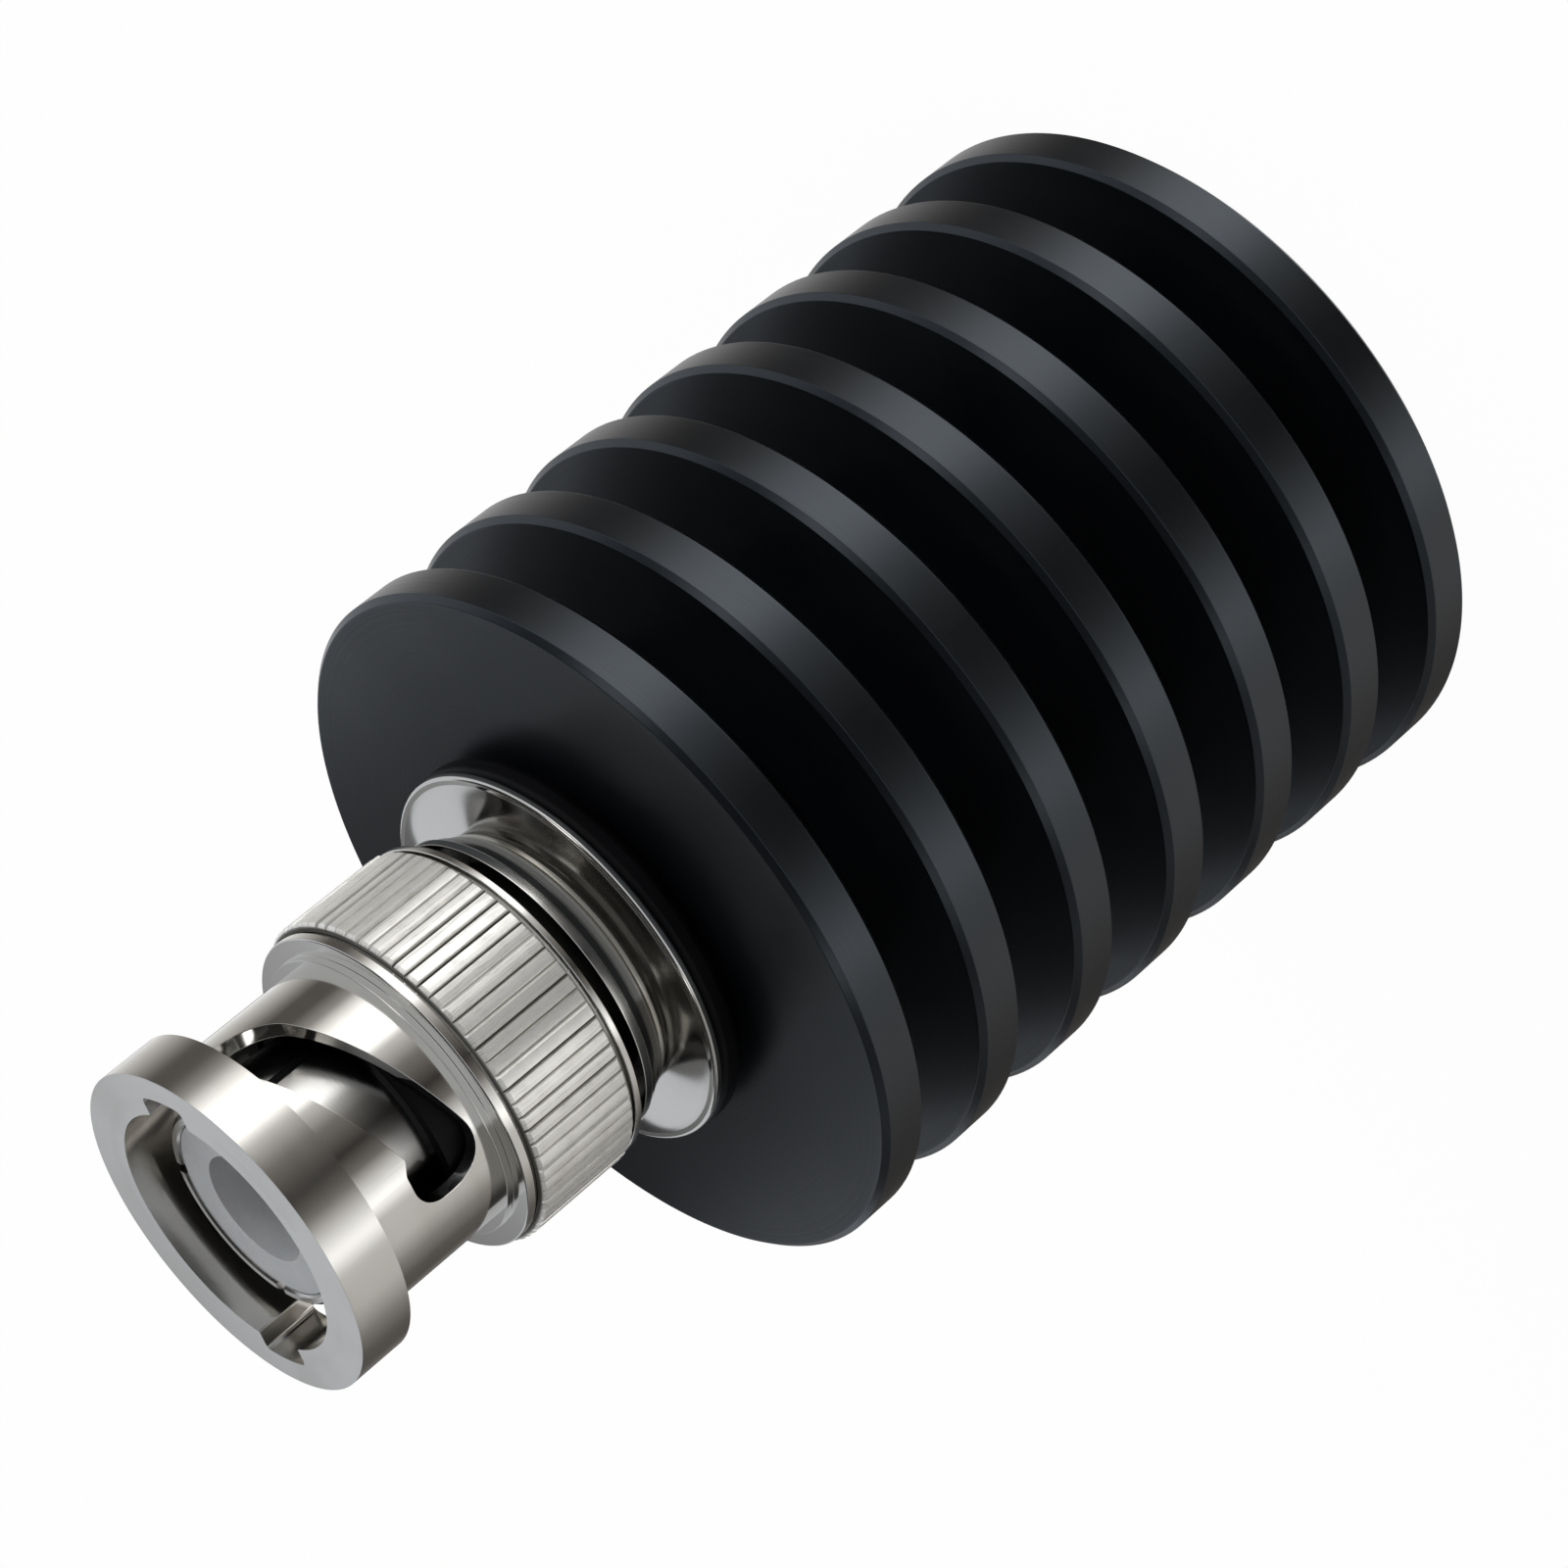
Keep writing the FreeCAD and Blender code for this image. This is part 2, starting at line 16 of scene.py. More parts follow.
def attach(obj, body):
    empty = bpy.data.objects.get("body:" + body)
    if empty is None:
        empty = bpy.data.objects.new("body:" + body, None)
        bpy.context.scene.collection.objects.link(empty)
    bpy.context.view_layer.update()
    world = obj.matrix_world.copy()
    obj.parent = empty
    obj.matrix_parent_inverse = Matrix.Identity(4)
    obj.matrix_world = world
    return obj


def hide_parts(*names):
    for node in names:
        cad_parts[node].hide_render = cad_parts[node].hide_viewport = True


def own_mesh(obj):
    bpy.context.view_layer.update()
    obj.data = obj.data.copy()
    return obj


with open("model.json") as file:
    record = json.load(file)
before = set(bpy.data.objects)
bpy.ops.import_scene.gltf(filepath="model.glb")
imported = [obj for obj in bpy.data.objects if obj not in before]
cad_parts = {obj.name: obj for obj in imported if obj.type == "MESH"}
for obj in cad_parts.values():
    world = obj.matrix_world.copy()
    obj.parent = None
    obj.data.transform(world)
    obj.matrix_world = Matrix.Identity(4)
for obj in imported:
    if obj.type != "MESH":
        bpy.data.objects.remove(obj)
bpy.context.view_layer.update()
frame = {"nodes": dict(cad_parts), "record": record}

Triple = tuple[float, float, float]
Pair = tuple[float, float]
Shell = bmesh.types.BMesh
Vert = bmesh.types.BMVert
Edge = bmesh.types.BMEdge
Material = bpy.types.Material
MM = 0.001
FULL_TURN = 2 * math.pi
Z_AXIS = (0.0, 0.0, 1.0)
ORIGIN = (0.0, 0.0, 0.0)
WHITE = (1.0, 1.0, 1.0, 1.0)
DARK_WARMTH = 0.93
WARM_BELOW = 0.3
LEAST_ROUGHNESS = 0.04
GLOSS_ONLY = ("camera", "diffuse", "transmission", "shadow")
log = logging.getLogger("coaxial_terminator")


class Body(str, Enum):
    """The bodies that the new pieces ride on."""

    HOUSING = "terminator_body"
    NUT = "nut"


class Slot(str, Enum):
    """The record's material slots."""

    ANODISED = "black_anodised"
    RUBBER = "black_rubber"
    NICKEL = "nickel_plate"
    CONTACT = "contact_plate"
    DIELECTRIC = "white_dielectric"
    GOLD = "gold_plate"
    SPRING = "spring_steel"
    FILM = "ceramic_film"
    TIN = "tin_plate"


# Shader graphs


def math_node(operation: str, value_last: bool = False) -> Callable[..., "Value"]:
    """Makes a method that adds one Math node on its value and other values or numbers."""

    def method(self: "Value", *others: object) -> "Value":
        """Adds the node."""
        operands = (*others, self) if value_last else (self, *others)
        return self.graph.add("ShaderNodeMath", {"operation": operation}, dict(enumerate(operands)))

    return method


class Value:
    """One shader output. Arithmetic on it adds Math nodes."""

    def __init__(self, graph: "Graph", socket: bpy.types.NodeSocket) -> None:
        """Wraps one output socket of a graph."""
        self.graph = graph
        self.socket = socket

    __add__ = __radd__ = math_node("ADD")
    __sub__ = math_node("SUBTRACT")
    __rsub__ = math_node("SUBTRACT", value_last=True)
    __mul__ = __rmul__ = math_node("MULTIPLY")
    __truediv__ = math_node("DIVIDE")
    __pow__ = math_node("POWER")
    largest = math_node("MAXIMUM")
    smallest = math_node("MINIMUM")
    angle_to = math_node("ARCTAN2")
    fract = math_node("FRACT")
    size = math_node("ABSOLUTE")
    arcsine = math_node("ARCSINE")

    def window(self, low: float, high: float, soft: float) -> "Value":
        """One between low and high, and zero outside, with soft edges."""
        return self.ramp(low - soft, low + soft) * (1.0 - self.ramp(high - soft, high + soft))

    def ramp(self, low: float, high: float) -> "Value":
        """Zero below low, one above high and smooth between."""
        settings = {"interpolation_type": "SMOOTHSTEP"}
        return self.graph.add("ShaderNodeMapRange", settings, {0: self, 1: low, 2: high, 3: 0.0, 4: 1.0})


class Graph:
    """One material's nodes."""

    def __init__(self, name: str, tree: bpy.types.NodeTree | None = None) -> None:
        """Starts an empty material, or clears the tree that is given."""
        self.material = None
        if tree is None:
            self.material = bpy.data.materials.new(name)
            self.material.use_nodes = True
            tree = self.material.node_tree
        self.tree = tree
        self.tree.nodes.clear()

    def add(
        self,
        kind: str,
        settings: dict[str, object] | None = None,
        sockets: dict[int | str, object] | None = None,
        output: int | str = 0,
    ) -> Value:
        """Adds one node.

        Args:
            kind: the node's type.
            settings: its properties, set first; stops holds a ramp's places and tones.
            sockets: values or links of its inputs, by name or index.
            output: the output to return.

        Returns:
            That output.
        """
        node = self.tree.nodes.new(kind)
        for name, setting in (settings or {}).items():
            if name == "stops":
                self._place_stops(node, setting)
            else:
                setattr(node, name, setting)
        for key, value in (sockets or {}).items():
            if isinstance(value, Value):
                self.tree.links.new(value.socket, node.inputs[key])
            else:
                node.inputs[key].default_value = value
        outputs = node.outputs
        return Value(self, outputs[output]) if len(outputs) else Value(self, None)

    @staticmethod
    def _place_stops(node: bpy.types.Node, stops: Sequence[Pair]) -> None:
        """Gives a ramp its stops as (place, tone), the dark ones a little warm."""
        elements = node.color_ramp.elements
        while len(elements) < len(stops):
            elements.new(0.5)
        for element, (place, tone) in zip(elements, stops):
            element.position = place
            warm = DARK_WARMTH + (1.0 - DARK_WARMTH) * min(1.0, tone / WARM_BELOW)
            element.color = (tone, tone * warm, tone * warm * warm, 1.0)

    def place(self) -> Value:
        """Object coordinates."""
        return self.add("ShaderNodeTexCoord", output="Object")

    def parts(self, vector: Value) -> tuple[Value, Value, Value]:
        """The three numbers of a vector."""
        node = self.add("ShaderNodeSeparateXYZ", sockets={0: vector}).socket.node
        return tuple(Value(self, socket) for socket in node.outputs)

    def cylinder(self) -> tuple[Value, Value, Value]:
        """The place round the axis: its radius, its share of a turn and its height."""
        x, y, z = self.parts(self.place())
        return (x * x + y * y) ** 0.5, y.angle_to(x) / FULL_TURN, z

    def noise(self, scale: float, detail: float, roughness: float = 0.5, place: Value | None = None) -> Value:
        """Noise in space, from 0 to 1, with scale in features per metre."""
        sockets = {"Scale": scale, "Detail": detail, "Roughness": roughness, "Vector": place or self.place()}
        return self.add("ShaderNodeTexNoise", {}, sockets)

    def line_noise(self, position: Value, scale: float, detail: float) -> Value:
        """Noise along one line, from 0 to 1."""
        sockets = {"W": position, "Scale": scale, "Detail": detail}
        return self.add("ShaderNodeTexNoise", {"noise_dimensions": "1D"}, sockets)

    def blend(self, factor: object, first: object, second: object) -> Value:
        """Mixes two colours."""
        settings = {"data_type": "RGBA"}
        return self.add("ShaderNodeMix", settings, {0: factor, 6: first, 7: second}, output=2)

    def bump(
        self, height: Value, depth_mm: float, strength: float = 1.0, under: Value | None = None
    ) -> Value:
        """Normal from a height of 0 to 1 that stands for depth_mm, on top of another bump."""
        sockets = {"Strength": strength, "Distance": depth_mm * MM, "Height": height}
        if under is not None:
            sockets["Normal"] = under
        return self.add("ShaderNodeBump", {}, sockets)

    def surface(self, sockets: dict[str, object]) -> Material:
        """Closes the material with one Principled shader."""
        shader = self.add("ShaderNodeBsdfPrincipled", {}, sockets)
        self.add("ShaderNodeOutputMaterial", {}, {"Surface": shader})
        return self.material

    def glow(self, colour: object, strength: object) -> Material:
        """Closes the material with light of its own."""
        light = self.add("ShaderNodeEmission", {}, {"Color": colour, "Strength": strength})
        self.add("ShaderNodeOutputMaterial", {}, {"Surface": light})
        return self.material


def rgba(colour: Sequence[float], gain: float = 1.0) -> tuple[float, float, float, float]:
    """A colour with full alpha, scaled by gain."""
    red, green, blue = (channel * gain for channel in colour)
    return (red, green, blue, 1.0)


# Finishes


@dataclass(frozen=True)
class TurnedMetal:
    """Plated or bare metal with fine turning lines round the axis, and one band of heights darkened as
    painted shade.
    """

    name: str
    colour: Triple
    tarnish: Triple
    roughness: float
    line_pitch_mm: float = 0.07
    line_depth_mm: float = 0.0006
    band_pitches: float = 14.0
    cloud_scale: float = 260.0
    speck_scale: float = 5200.0
    stain_range: Pair = (0.42, 0.72)
    haze: float = 0.10
    scratch_depth_mm: float = 0.0006
    # The band of heights that gets painted shade, the width of its soft edge, and how much of the tarnish
    # colour stays there.
    shade_band_mm: Pair = (-3.0, -2.0)
    shade_edge_mm: float = 0.1
    shade_share: float = 0.1

    def build(self) -> Material:
        """Makes the material.

        Returns:
            Metal whose lines run round the axis on walls and faces alike.
        """
        graph = Graph(self.name)
        radius, _, z = graph.cylinder()
        run = z + radius
        lines = graph.line_noise(run, 1 / (self.line_pitch_mm * MM), 2.0)
        bands = graph.line_noise(run, 1 / (self.band_pitches * self.line_pitch_mm * MM), 3.0)
        clouds = graph.noise(self.cloud_scale, 4.0)
        specks = graph.noise(self.speck_scale, 3.0, 0.6)
        stain = (clouds * 0.6 + bands * 0.4).ramp(*self.stain_range)
        unshaded = graph.blend(stain, rgba(self.colour), rgba(self.tarnish))
        # Painted shade: inside the band the colour turns to a darkened tarnish, standing in for shade that
        # falls there.
        low, high = self.shade_band_mm
        painted_shade = z.window(low * MM, high * MM, self.shade_edge_mm * MM)
        colour = graph.blend(painted_shade, unshaded, rgba(self.tarnish, self.shade_share))
        roughness = self.roughness + (lines - 0.5) * self.haze + (clouds - 0.5) * self.haze * 1.4
        roughness = (roughness + specks.ramp(0.6, 0.75) * self.haze * 0.4).largest(LEAST_ROUGHNESS)
        cut = graph.bump(lines, self.line_depth_mm)
        return graph.surface({
            "Base Color": colour,
            "Metallic": 1.0,
            "Roughness": roughness,
            "Normal": graph.bump(specks, self.scratch_depth_mm, under=cut),
        })


@dataclass(frozen=True)
class CutMetal:
    """Bright metal with cut marks that run along the axis, for the knurled band, with painted shade in the
    flute bottoms.
    """

    name: str = "nickel_knurl_finish"
    colour: Triple = (0.95, 0.935, 0.89)
    tarnish: Triple = (0.70, 0.68, 0.63)
    # Colour of the painted shade in the flute bottoms.
    painted_shade: Triple = (0.14, 0.135, 0.12)
    roughness: float = 0.40
    metallic: float = 0.65
    marks_per_turn: float = 520.0
    mark_depth_mm: float = 0.004
    mark_strength: float = 0.7
    drift_scale: float = 900.0
    drift_turns: float = 0.004
    cloud_scale: float = 1400.0
    pit_depth_mm: float = 0.002
    stain_range: Pair = (0.46, 0.70)
    shade_radius_mm: float = 6.52
    unshaded_radius_mm: float = 6.70

    def build(self) -> Material:
        """Makes the material."""
        graph = Graph(self.name)
        radius, turn, _ = graph.cylinder()
        drift = graph.noise(self.drift_scale, 2.0) * self.drift_turns
        marks = graph.line_noise(turn + drift, self.marks_per_turn, 3.0)
        clouds = graph.noise(self.cloud_scale, 4.0, 0.6)
        stain = (marks * 0.6 + clouds * 0.4).ramp(*self.stain_range)
        # Painted shade: towards the bottoms of the flutes the bright metal turns to the dark colour.
        crest = radius.ramp(self.shade_radius_mm * MM, self.unshaded_radius_mm * MM)
        bright = graph.blend(stain, rgba(self.colour), rgba(self.tarnish))
        cut = graph.bump(marks, self.mark_depth_mm, self.mark_strength)
        return graph.surface({
            "Base Color": graph.blend(crest, rgba(self.painted_shade), bright),
            "Metallic": self.metallic,
            "Roughness": self.roughness + (marks - 0.5) * 0.2 + (clouds - 0.5) * 0.15,
            "Normal": graph.bump(clouds, self.pit_depth_mm, under=cut),
        })


@dataclass(frozen=True)
class BlackAnodised:
    """Black anodised aluminium, satin on the fin rims and duller on the turned faces."""

    name: str = "black_anodised_finish"
    colour: Triple = (0.0018, 0.0022, 0.0030)
    worn_colour: Triple = (0.0036, 0.0043, 0.0056)
    gloss_tint: Triple = (0.80, 0.90, 1.0)
    rim_roughness: float = 0.31
    face_roughness: float = 0.36
    rim_radius_mm: float = 13.6
    rim_blend_mm: float = 0.2
    line_pitch_mm: float = 0.09
    line_depth_mm: float = 0.0009
    band_pitches: float = 12.0
    pore_depth_mm: float = 0.0010
    cloud_scale: float = 180.0
    grain_scale: float = 26000.0
    wear_range: Pair = (0.40, 0.70)
    gloss: float = 0.62

    def build(self) -> Material:
        """Makes the material."""
        graph = Graph(self.name)
        radius, _, z = graph.cylinder()
        on_rim = radius.ramp(self.rim_radius_mm * MM, (self.rim_radius_mm + self.rim_blend_mm) * MM)
        lines = graph.line_noise(z + radius, 1 / (self.line_pitch_mm * MM), 2.0)
        bands = graph.line_noise(z + radius, 1 / (self.band_pitches * self.line_pitch_mm * MM), 2.0)
        clouds = graph.noise(self.cloud_scale, 4.0)
        grain = graph.noise(self.grain_scale, 2.0, 0.6)
        wear = (clouds * 0.5 + bands * 0.3 + grain * 0.2).ramp(*self.wear_range)
        colour = graph.blend(wear, rgba(self.colour), rgba(self.worn_colour))
        drop = self.face_roughness - self.rim_roughness
        roughness = self.face_roughness - on_rim * drop + (lines - 0.5) * 0.10 + (clouds - 0.5) * 0.10
        cut = graph.bump(lines, self.line_depth_mm)
        return graph.surface({
            "Base Color": colour,
            "Roughness": roughness,
            "Specular IOR Level": self.gloss,
            "Specular Tint": rgba(self.gloss_tint),
            "Normal": graph.bump(grain, self.pore_depth_mm, under=cut),
        })


@dataclass(frozen=True)
class Moulded:
    """Rubber or plastic: a soft mottle, fine grain and dust, and where set, painted shade beyond a radius and
    below a height.
    """

    name: str
    colour: Triple
    mottle: Triple
    roughness: float
    grain_depth_mm: float = 0.002
    grain_scale: float = 9000.0
    cloud_scale: float = 420.0
    mottle_range: Pair = (0.38, 0.68)
    subsurface: float = 0.0
    subsurface_mm: float = 0.5
    gloss: float = 0.5
    # Where painted shade goes: beyond a radius and below a height, with a soft edge and how dark it gets.
    shade_beyond_mm: float = 0.0
    shade_below_mm: float = 0.0
    shade_edge_mm: float = 0.1
    shade_share: float = 0.03

    def build(self) -> Material:
        """Makes the material."""
        graph = Graph(self.name)
        clouds = graph.noise(self.cloud_scale, 4.0)
        grain = graph.noise(self.grain_scale, 3.0, 0.6)
        mottled = (clouds * 0.7 + grain * 0.3).ramp(*self.mottle_range)
        colour = graph.blend(mottled, rgba(self.colour), rgba(self.mottle))
        # Painted shade: beyond the given radius and below the given height the colour turns dark, standing in
        # for shade.
        if self.shade_beyond_mm:
            radius, _, z = graph.cylinder()
            beyond, below, edge = self.shade_beyond_mm, self.shade_below_mm, self.shade_edge_mm
            outside = radius.ramp((beyond - edge) * MM, beyond * MM)
            hidden = outside * (1.0 - z.ramp((below - 2 * edge) * MM, below * MM))
            colour = graph.blend(hidden, colour, rgba(self.mottle, self.shade_share))
        sockets = {
            "Base Color": colour,
            "Roughness": self.roughness + (clouds - 0.5) * 0.16 + (grain - 0.5) * 0.08,
            "Normal": graph.bump(grain, self.grain_depth_mm),
            "Specular IOR Level": self.gloss,
        }
        if self.subsurface:
            sockets["Subsurface Weight"] = self.subsurface
            sockets["Subsurface Scale"] = self.subsurface_mm * MM
        return graph.surface(sockets)


@dataclass(frozen=True)
class FilmOnCeramic:
    """Dark resistive film on a ceramic rod, with a faint spiral of trimming."""

    name: str = "ceramic_film_finish"
    colour: Triple = (0.050, 0.034, 0.026)
    glaze: Triple = (0.095, 0.060, 0.042)
    roughness: float = 0.45
    pitch_mm: float = 0.9
    groove_depth_mm: float = 0.02
    grain_scale: float = 7000.0

    def build(self) -> Material:
        """Makes the material."""
        graph = Graph(self.name)
        _, turn, z = graph.cylinder()
        groove = ((z / (self.pitch_mm * MM) + turn).fract() - 0.5).size().ramp(0.06, 0.12)
        grain = graph.noise(self.grain_scale, 3.0)
        colour = graph.blend(grain.ramp(0.4, 0.7), rgba(self.colour), rgba(self.glaze))
        return graph.surface({
            "Base Color": colour,
            "Roughness": self.roughness + (grain - 0.5) * 0.2,
            "Normal": graph.bump(groove, self.groove_depth_mm),
        })


NICKEL = TurnedMetal(
    "nickel_plate_finish", (0.66, 0.645, 0.61), (0.62, 0.605, 0.565), 0.10,
    line_depth_mm=0.00012, haze=0.03, scratch_depth_mm=0.00006,
)
NUT_SATIN = TurnedMetal(
    "nickel_satin_finish", (0.64, 0.625, 0.59), (0.58, 0.56, 0.52), 0.18,
    line_depth_mm=0.00015, haze=0.04, scratch_depth_mm=0.0001,
)
# Its dark band is painted shade on the nut's rear face, which faces the flange.
NUT_BRIGHT = replace(
    NICKEL, name="nickel_bright_finish", tarnish=(0.645, 0.63, 0.595), roughness=0.12,
    line_depth_mm=0.00006, haze=0.02, shade_band_mm=(30.0, 36.33), shade_edge_mm=0.03,
)
# Its dark band is painted shade on the neck and the lower collar steps, in the gap behind the nut.
FLANGE_BRIGHT = replace(
    NICKEL, name="nickel_flange_finish", roughness=0.11,
    shade_band_mm=(34.42, 35.25), shade_edge_mm=0.12, shade_share=0.32,
)
# Painted shade: a dark copy of nickel for the plug body, whose neck shows only in the gap between the nut and
# the flange.
NECK_PAINTED_SHADE = TurnedMetal("nickel_neck_painted_shade", (0.10, 0.097, 0.09), (0.07, 0.067, 0.062), 0.35)


def finishes() -> dict[Slot, Material]:
    """Makes one material for each slot of the record.

    Returns:
        Material by slot.
    """
    recipes = {
        Slot.ANODISED: BlackAnodised(),
        Slot.RUBBER: Moulded(
            "black_rubber_finish", (0.0015, 0.0015, 0.0018), (0.003, 0.003, 0.0035), 0.5, gloss=0.12
        ),
        Slot.NICKEL: NICKEL,
        # Its dark band is painted shade: the contact darkens smoothly towards its rear, inside the nut's
        # sleeve.
        Slot.CONTACT: TurnedMetal(
            "contact_plate_finish", (0.66, 0.65, 0.63), (0.60, 0.59, 0.565), 0.20,
            shade_band_mm=(30.0, 44.6), shade_edge_mm=1.7,
        ),
        # Its outer wall, beyond 3.3 mm and below 48 mm, gets painted shade where it sits inside the contact.
        Slot.DIELECTRIC: Moulded(
            "white_dielectric_finish", (0.46, 0.47, 0.485), (0.40, 0.41, 0.425), 0.42, subsurface=0.1,
            shade_beyond_mm=3.3, shade_below_mm=48.0,
        ),
        Slot.GOLD: TurnedMetal("gold_plate_finish", (0.83, 0.60, 0.24), (0.72, 0.48, 0.18), 0.20),
        Slot.SPRING: TurnedMetal("spring_steel_finish", (0.50, 0.50, 0.50), (0.40, 0.39, 0.38), 0.26),
        Slot.FILM: FilmOnCeramic(),
        Slot.TIN: TurnedMetal("tin_plate_finish", (0.66, 0.66, 0.64), (0.55, 0.55, 0.53), 0.38),
    }
    return {slot: recipe.build() for slot, recipe in recipes.items()}


# Shapes


@dataclass(frozen=True)
class Corner:
    """One corner of a turned outline, in millimetres; bevel is its corner radius."""

    radius: float
    height: float
    bevel: float = 0.0
    segments: int = 3


def stand(name: str, data: bpy.types.ID) -> bpy.types.Object:
    """Puts a new object in the scene."""
    made = bpy.data.objects.new(name, data)
    bpy.context.scene.collection.objects.link(made)
    return made


def as_mesh(name: str, shell: Shell) -> bpy.types.Mesh:
    """Makes a mesh of a shell, which is freed."""
    mesh = bpy.data.meshes.new(name)
    shell.to_mesh(mesh)
    shell.free()
    return mesh


def wire(shell: Shell, places: Sequence[Triple], closed: bool = True) -> list[Vert]:
    """Joins places in order by edges, and the last to the first when closed."""
    verts = [shell.verts.new(place) for place in places]
    for pair in zip(verts, verts[1:] + (verts[:1] if closed else [])):
        shell.edges.new(pair)
    return verts


def spin(shell: Shell, steps: int, angle: float = FULL_TURN) -> None:
    """Spins a wire round the axis, and closes a full turn."""
    bmesh.ops.spin(
        shell, geom=shell.verts[:] + shell.edges[:], cent=ORIGIN, axis=Z_AXIS, dvec=ORIGIN, angle=angle,
        steps=steps, use_merge=angle == FULL_TURN, use_duplicate=False,
    )


def outward(shell: Shell) -> None:
    """Turns every face of a closed shell outwards."""
    bmesh.ops.recalc_face_normals(shell, faces=shell.faces[:])


def drawn(grown: dict[str, list]) -> list[Vert]:
    """The new vertices of an extrusion."""
    return [item for item in grown["geom"] if isinstance(item, Vert)]


def turned(corners: Sequence[Corner], steps: int, closed: bool = True) -> Shell:
    """Spins an outline round the axis.

    Args:
        corners: the outline's corners in order.
        steps: facets round the full turn.
        closed: joins the last corner to the first; an outline that starts and ends on the axis is open.

    Returns:
        A closed shell, in millimetres.
    """
    shell = bmesh.new()
    verts = wire(shell, [(corner.radius, 0.0, corner.height) for corner in corners], closed)
    round_corners(shell, verts, corners)
    spin(shell, steps)
    bmesh.ops.remove_doubles(shell, verts=shell.verts[:], dist=1e-5)
    outward(shell)
    return shell


def round_corners(shell: Shell, verts: Sequence[Vert], corners: Sequence[Corner]) -> None:
    """Bevels the corners of a wire outline that have a radius.

    Args:
        shell: the mesh that holds the outline.
        verts: the outline's vertices.
        corners: the corner of each vertex.
    """
    jobs = []
    for vert, corner in zip(verts, corners):
        if corner.bevel <= 0 or len(vert.link_edges) != 2:
            continue
        arms = [(edge.other_vert(vert).co - vert.co).normalized() for edge in vert.link_edges]
        half = arms[0].angle(arms[1]) / 2
        jobs.append((vert, corner.bevel / math.tan(half), corner.segments))
    for vert, reach, segments in jobs:
        soften(shell, [vert], reach, segments, "VERTICES")


def rotate(shell: Shell, angle_deg: float, axis: str) -> None:
    """Turns a shell about an axis through the origin."""
    turn = Matrix.Rotation(math.radians(angle_deg), 3, axis)
    bmesh.ops.rotate(shell, verts=shell.verts[:], cent=ORIGIN, matrix=turn)


def soften(
    shell: Shell, geom: Sequence[Edge | Vert], offset: float, segments: int = 2, affect: str = "EDGES"
) -> None:
    """Bevels the edges or corners that are given."""
    bmesh.ops.bevel(
        shell, geom=list(geom), offset=offset, offset_type="OFFSET", segments=segments, profile=0.5,
        affect=affect, clamp_overlap=affect == "EDGES", material=-1,
    )


class Workshop:
    """Turns shells into named, dressed pieces that ride on the frame."""

    def __init__(self, materials: dict[Slot, Material]) -> None:
        """Keeps the materials by slot."""
        self.materials = materials

    def piece(
        self,
        name: str,
        shell: Shell,
        slot: Slot,
        body: Body,
        stands_for: Sequence[str] = (),
        sharp_deg: float = 38.0,
        finish: Material | None = None,
    ) -> bpy.types.Object:
        """Finishes one piece.

        Args:
            name: the piece's name.
            shell: its mesh in millimetres, which is freed.
            slot: the material slot that it is dressed in.
            body: the body that it rides on.
            stands_for: the nodes that it replaces.
            sharp_deg: edges that turn more than this stay crisp.
            finish: its own material, where it isn't the slot's.

        Returns:
            The piece.
        """
        bmesh.ops.scale(shell, vec=(MM, MM, MM), verts=shell.verts[:])
        for face in shell.faces:
            face.smooth = True
        mesh = as_mesh(name, shell)
        self._even_normals(mesh, math.cos(math.radians(sharp_deg)))
        made = stand(name, mesh)
        made.data.materials.append(finish or self.materials[slot])
        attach(made, body.value)
        if stands_for:
            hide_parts(*stands_for)
        log.info("%s: %d faces on %s", name, len(mesh.polygons), body.value)
        return made

    @staticmethod
    def _even_normals(mesh: bpy.types.Mesh, limit: float) -> None:
        """Takes each corner's normal from the largest faces that meet there softly, so flats stay flat.

        Args:
            mesh: the piece's mesh.
            limit: the least cosine between faces that share a normal.
        """
        faces = [(face.normal.copy(), (face.area / MM**2) ** 2) for face in mesh.polygons]
        around = [[] for _ in mesh.vertices]
        for face in mesh.polygons:
            for vert in face.vertices:
                around[vert].append(face.index)
        normals = [(0.0, 0.0, 0.0)] * len(mesh.loops)
        for face in mesh.polygons:
            own = faces[face.index][0]
            for corner, vert in zip(face.loop_indices, face.vertices):
                total = Vector()
                for other in around[vert]:
                    normal, weight = faces[other]
                    if normal.dot(own) > limit:
                        total += normal * weight
                normals[corner] = total.normalized()
        mesh.normals_split_custom_set(normals)

    def dress_nodes(self) -> None:
        """Gives every node of the frame its slot's material, but the plug body gets a dark copy of nickel as
        painted shade.
        """
        slots = {entry["node"]: entry["material_slot"] for entry in frame["record"]["subparts"]}
        # The plug body's dark nickel is painted shade.
        own = {"plug_body": NECK_PAINTED_SHADE.build()}
        for name, node in frame["nodes"].items():
            material = own.get(name, self.materials[Slot(slots[name])])
            node.data.materials.clear()
            node.data.materials.append(material)
            log.info("%s keeps its solid in %s", name, slots[name])


# Sub-assemblies


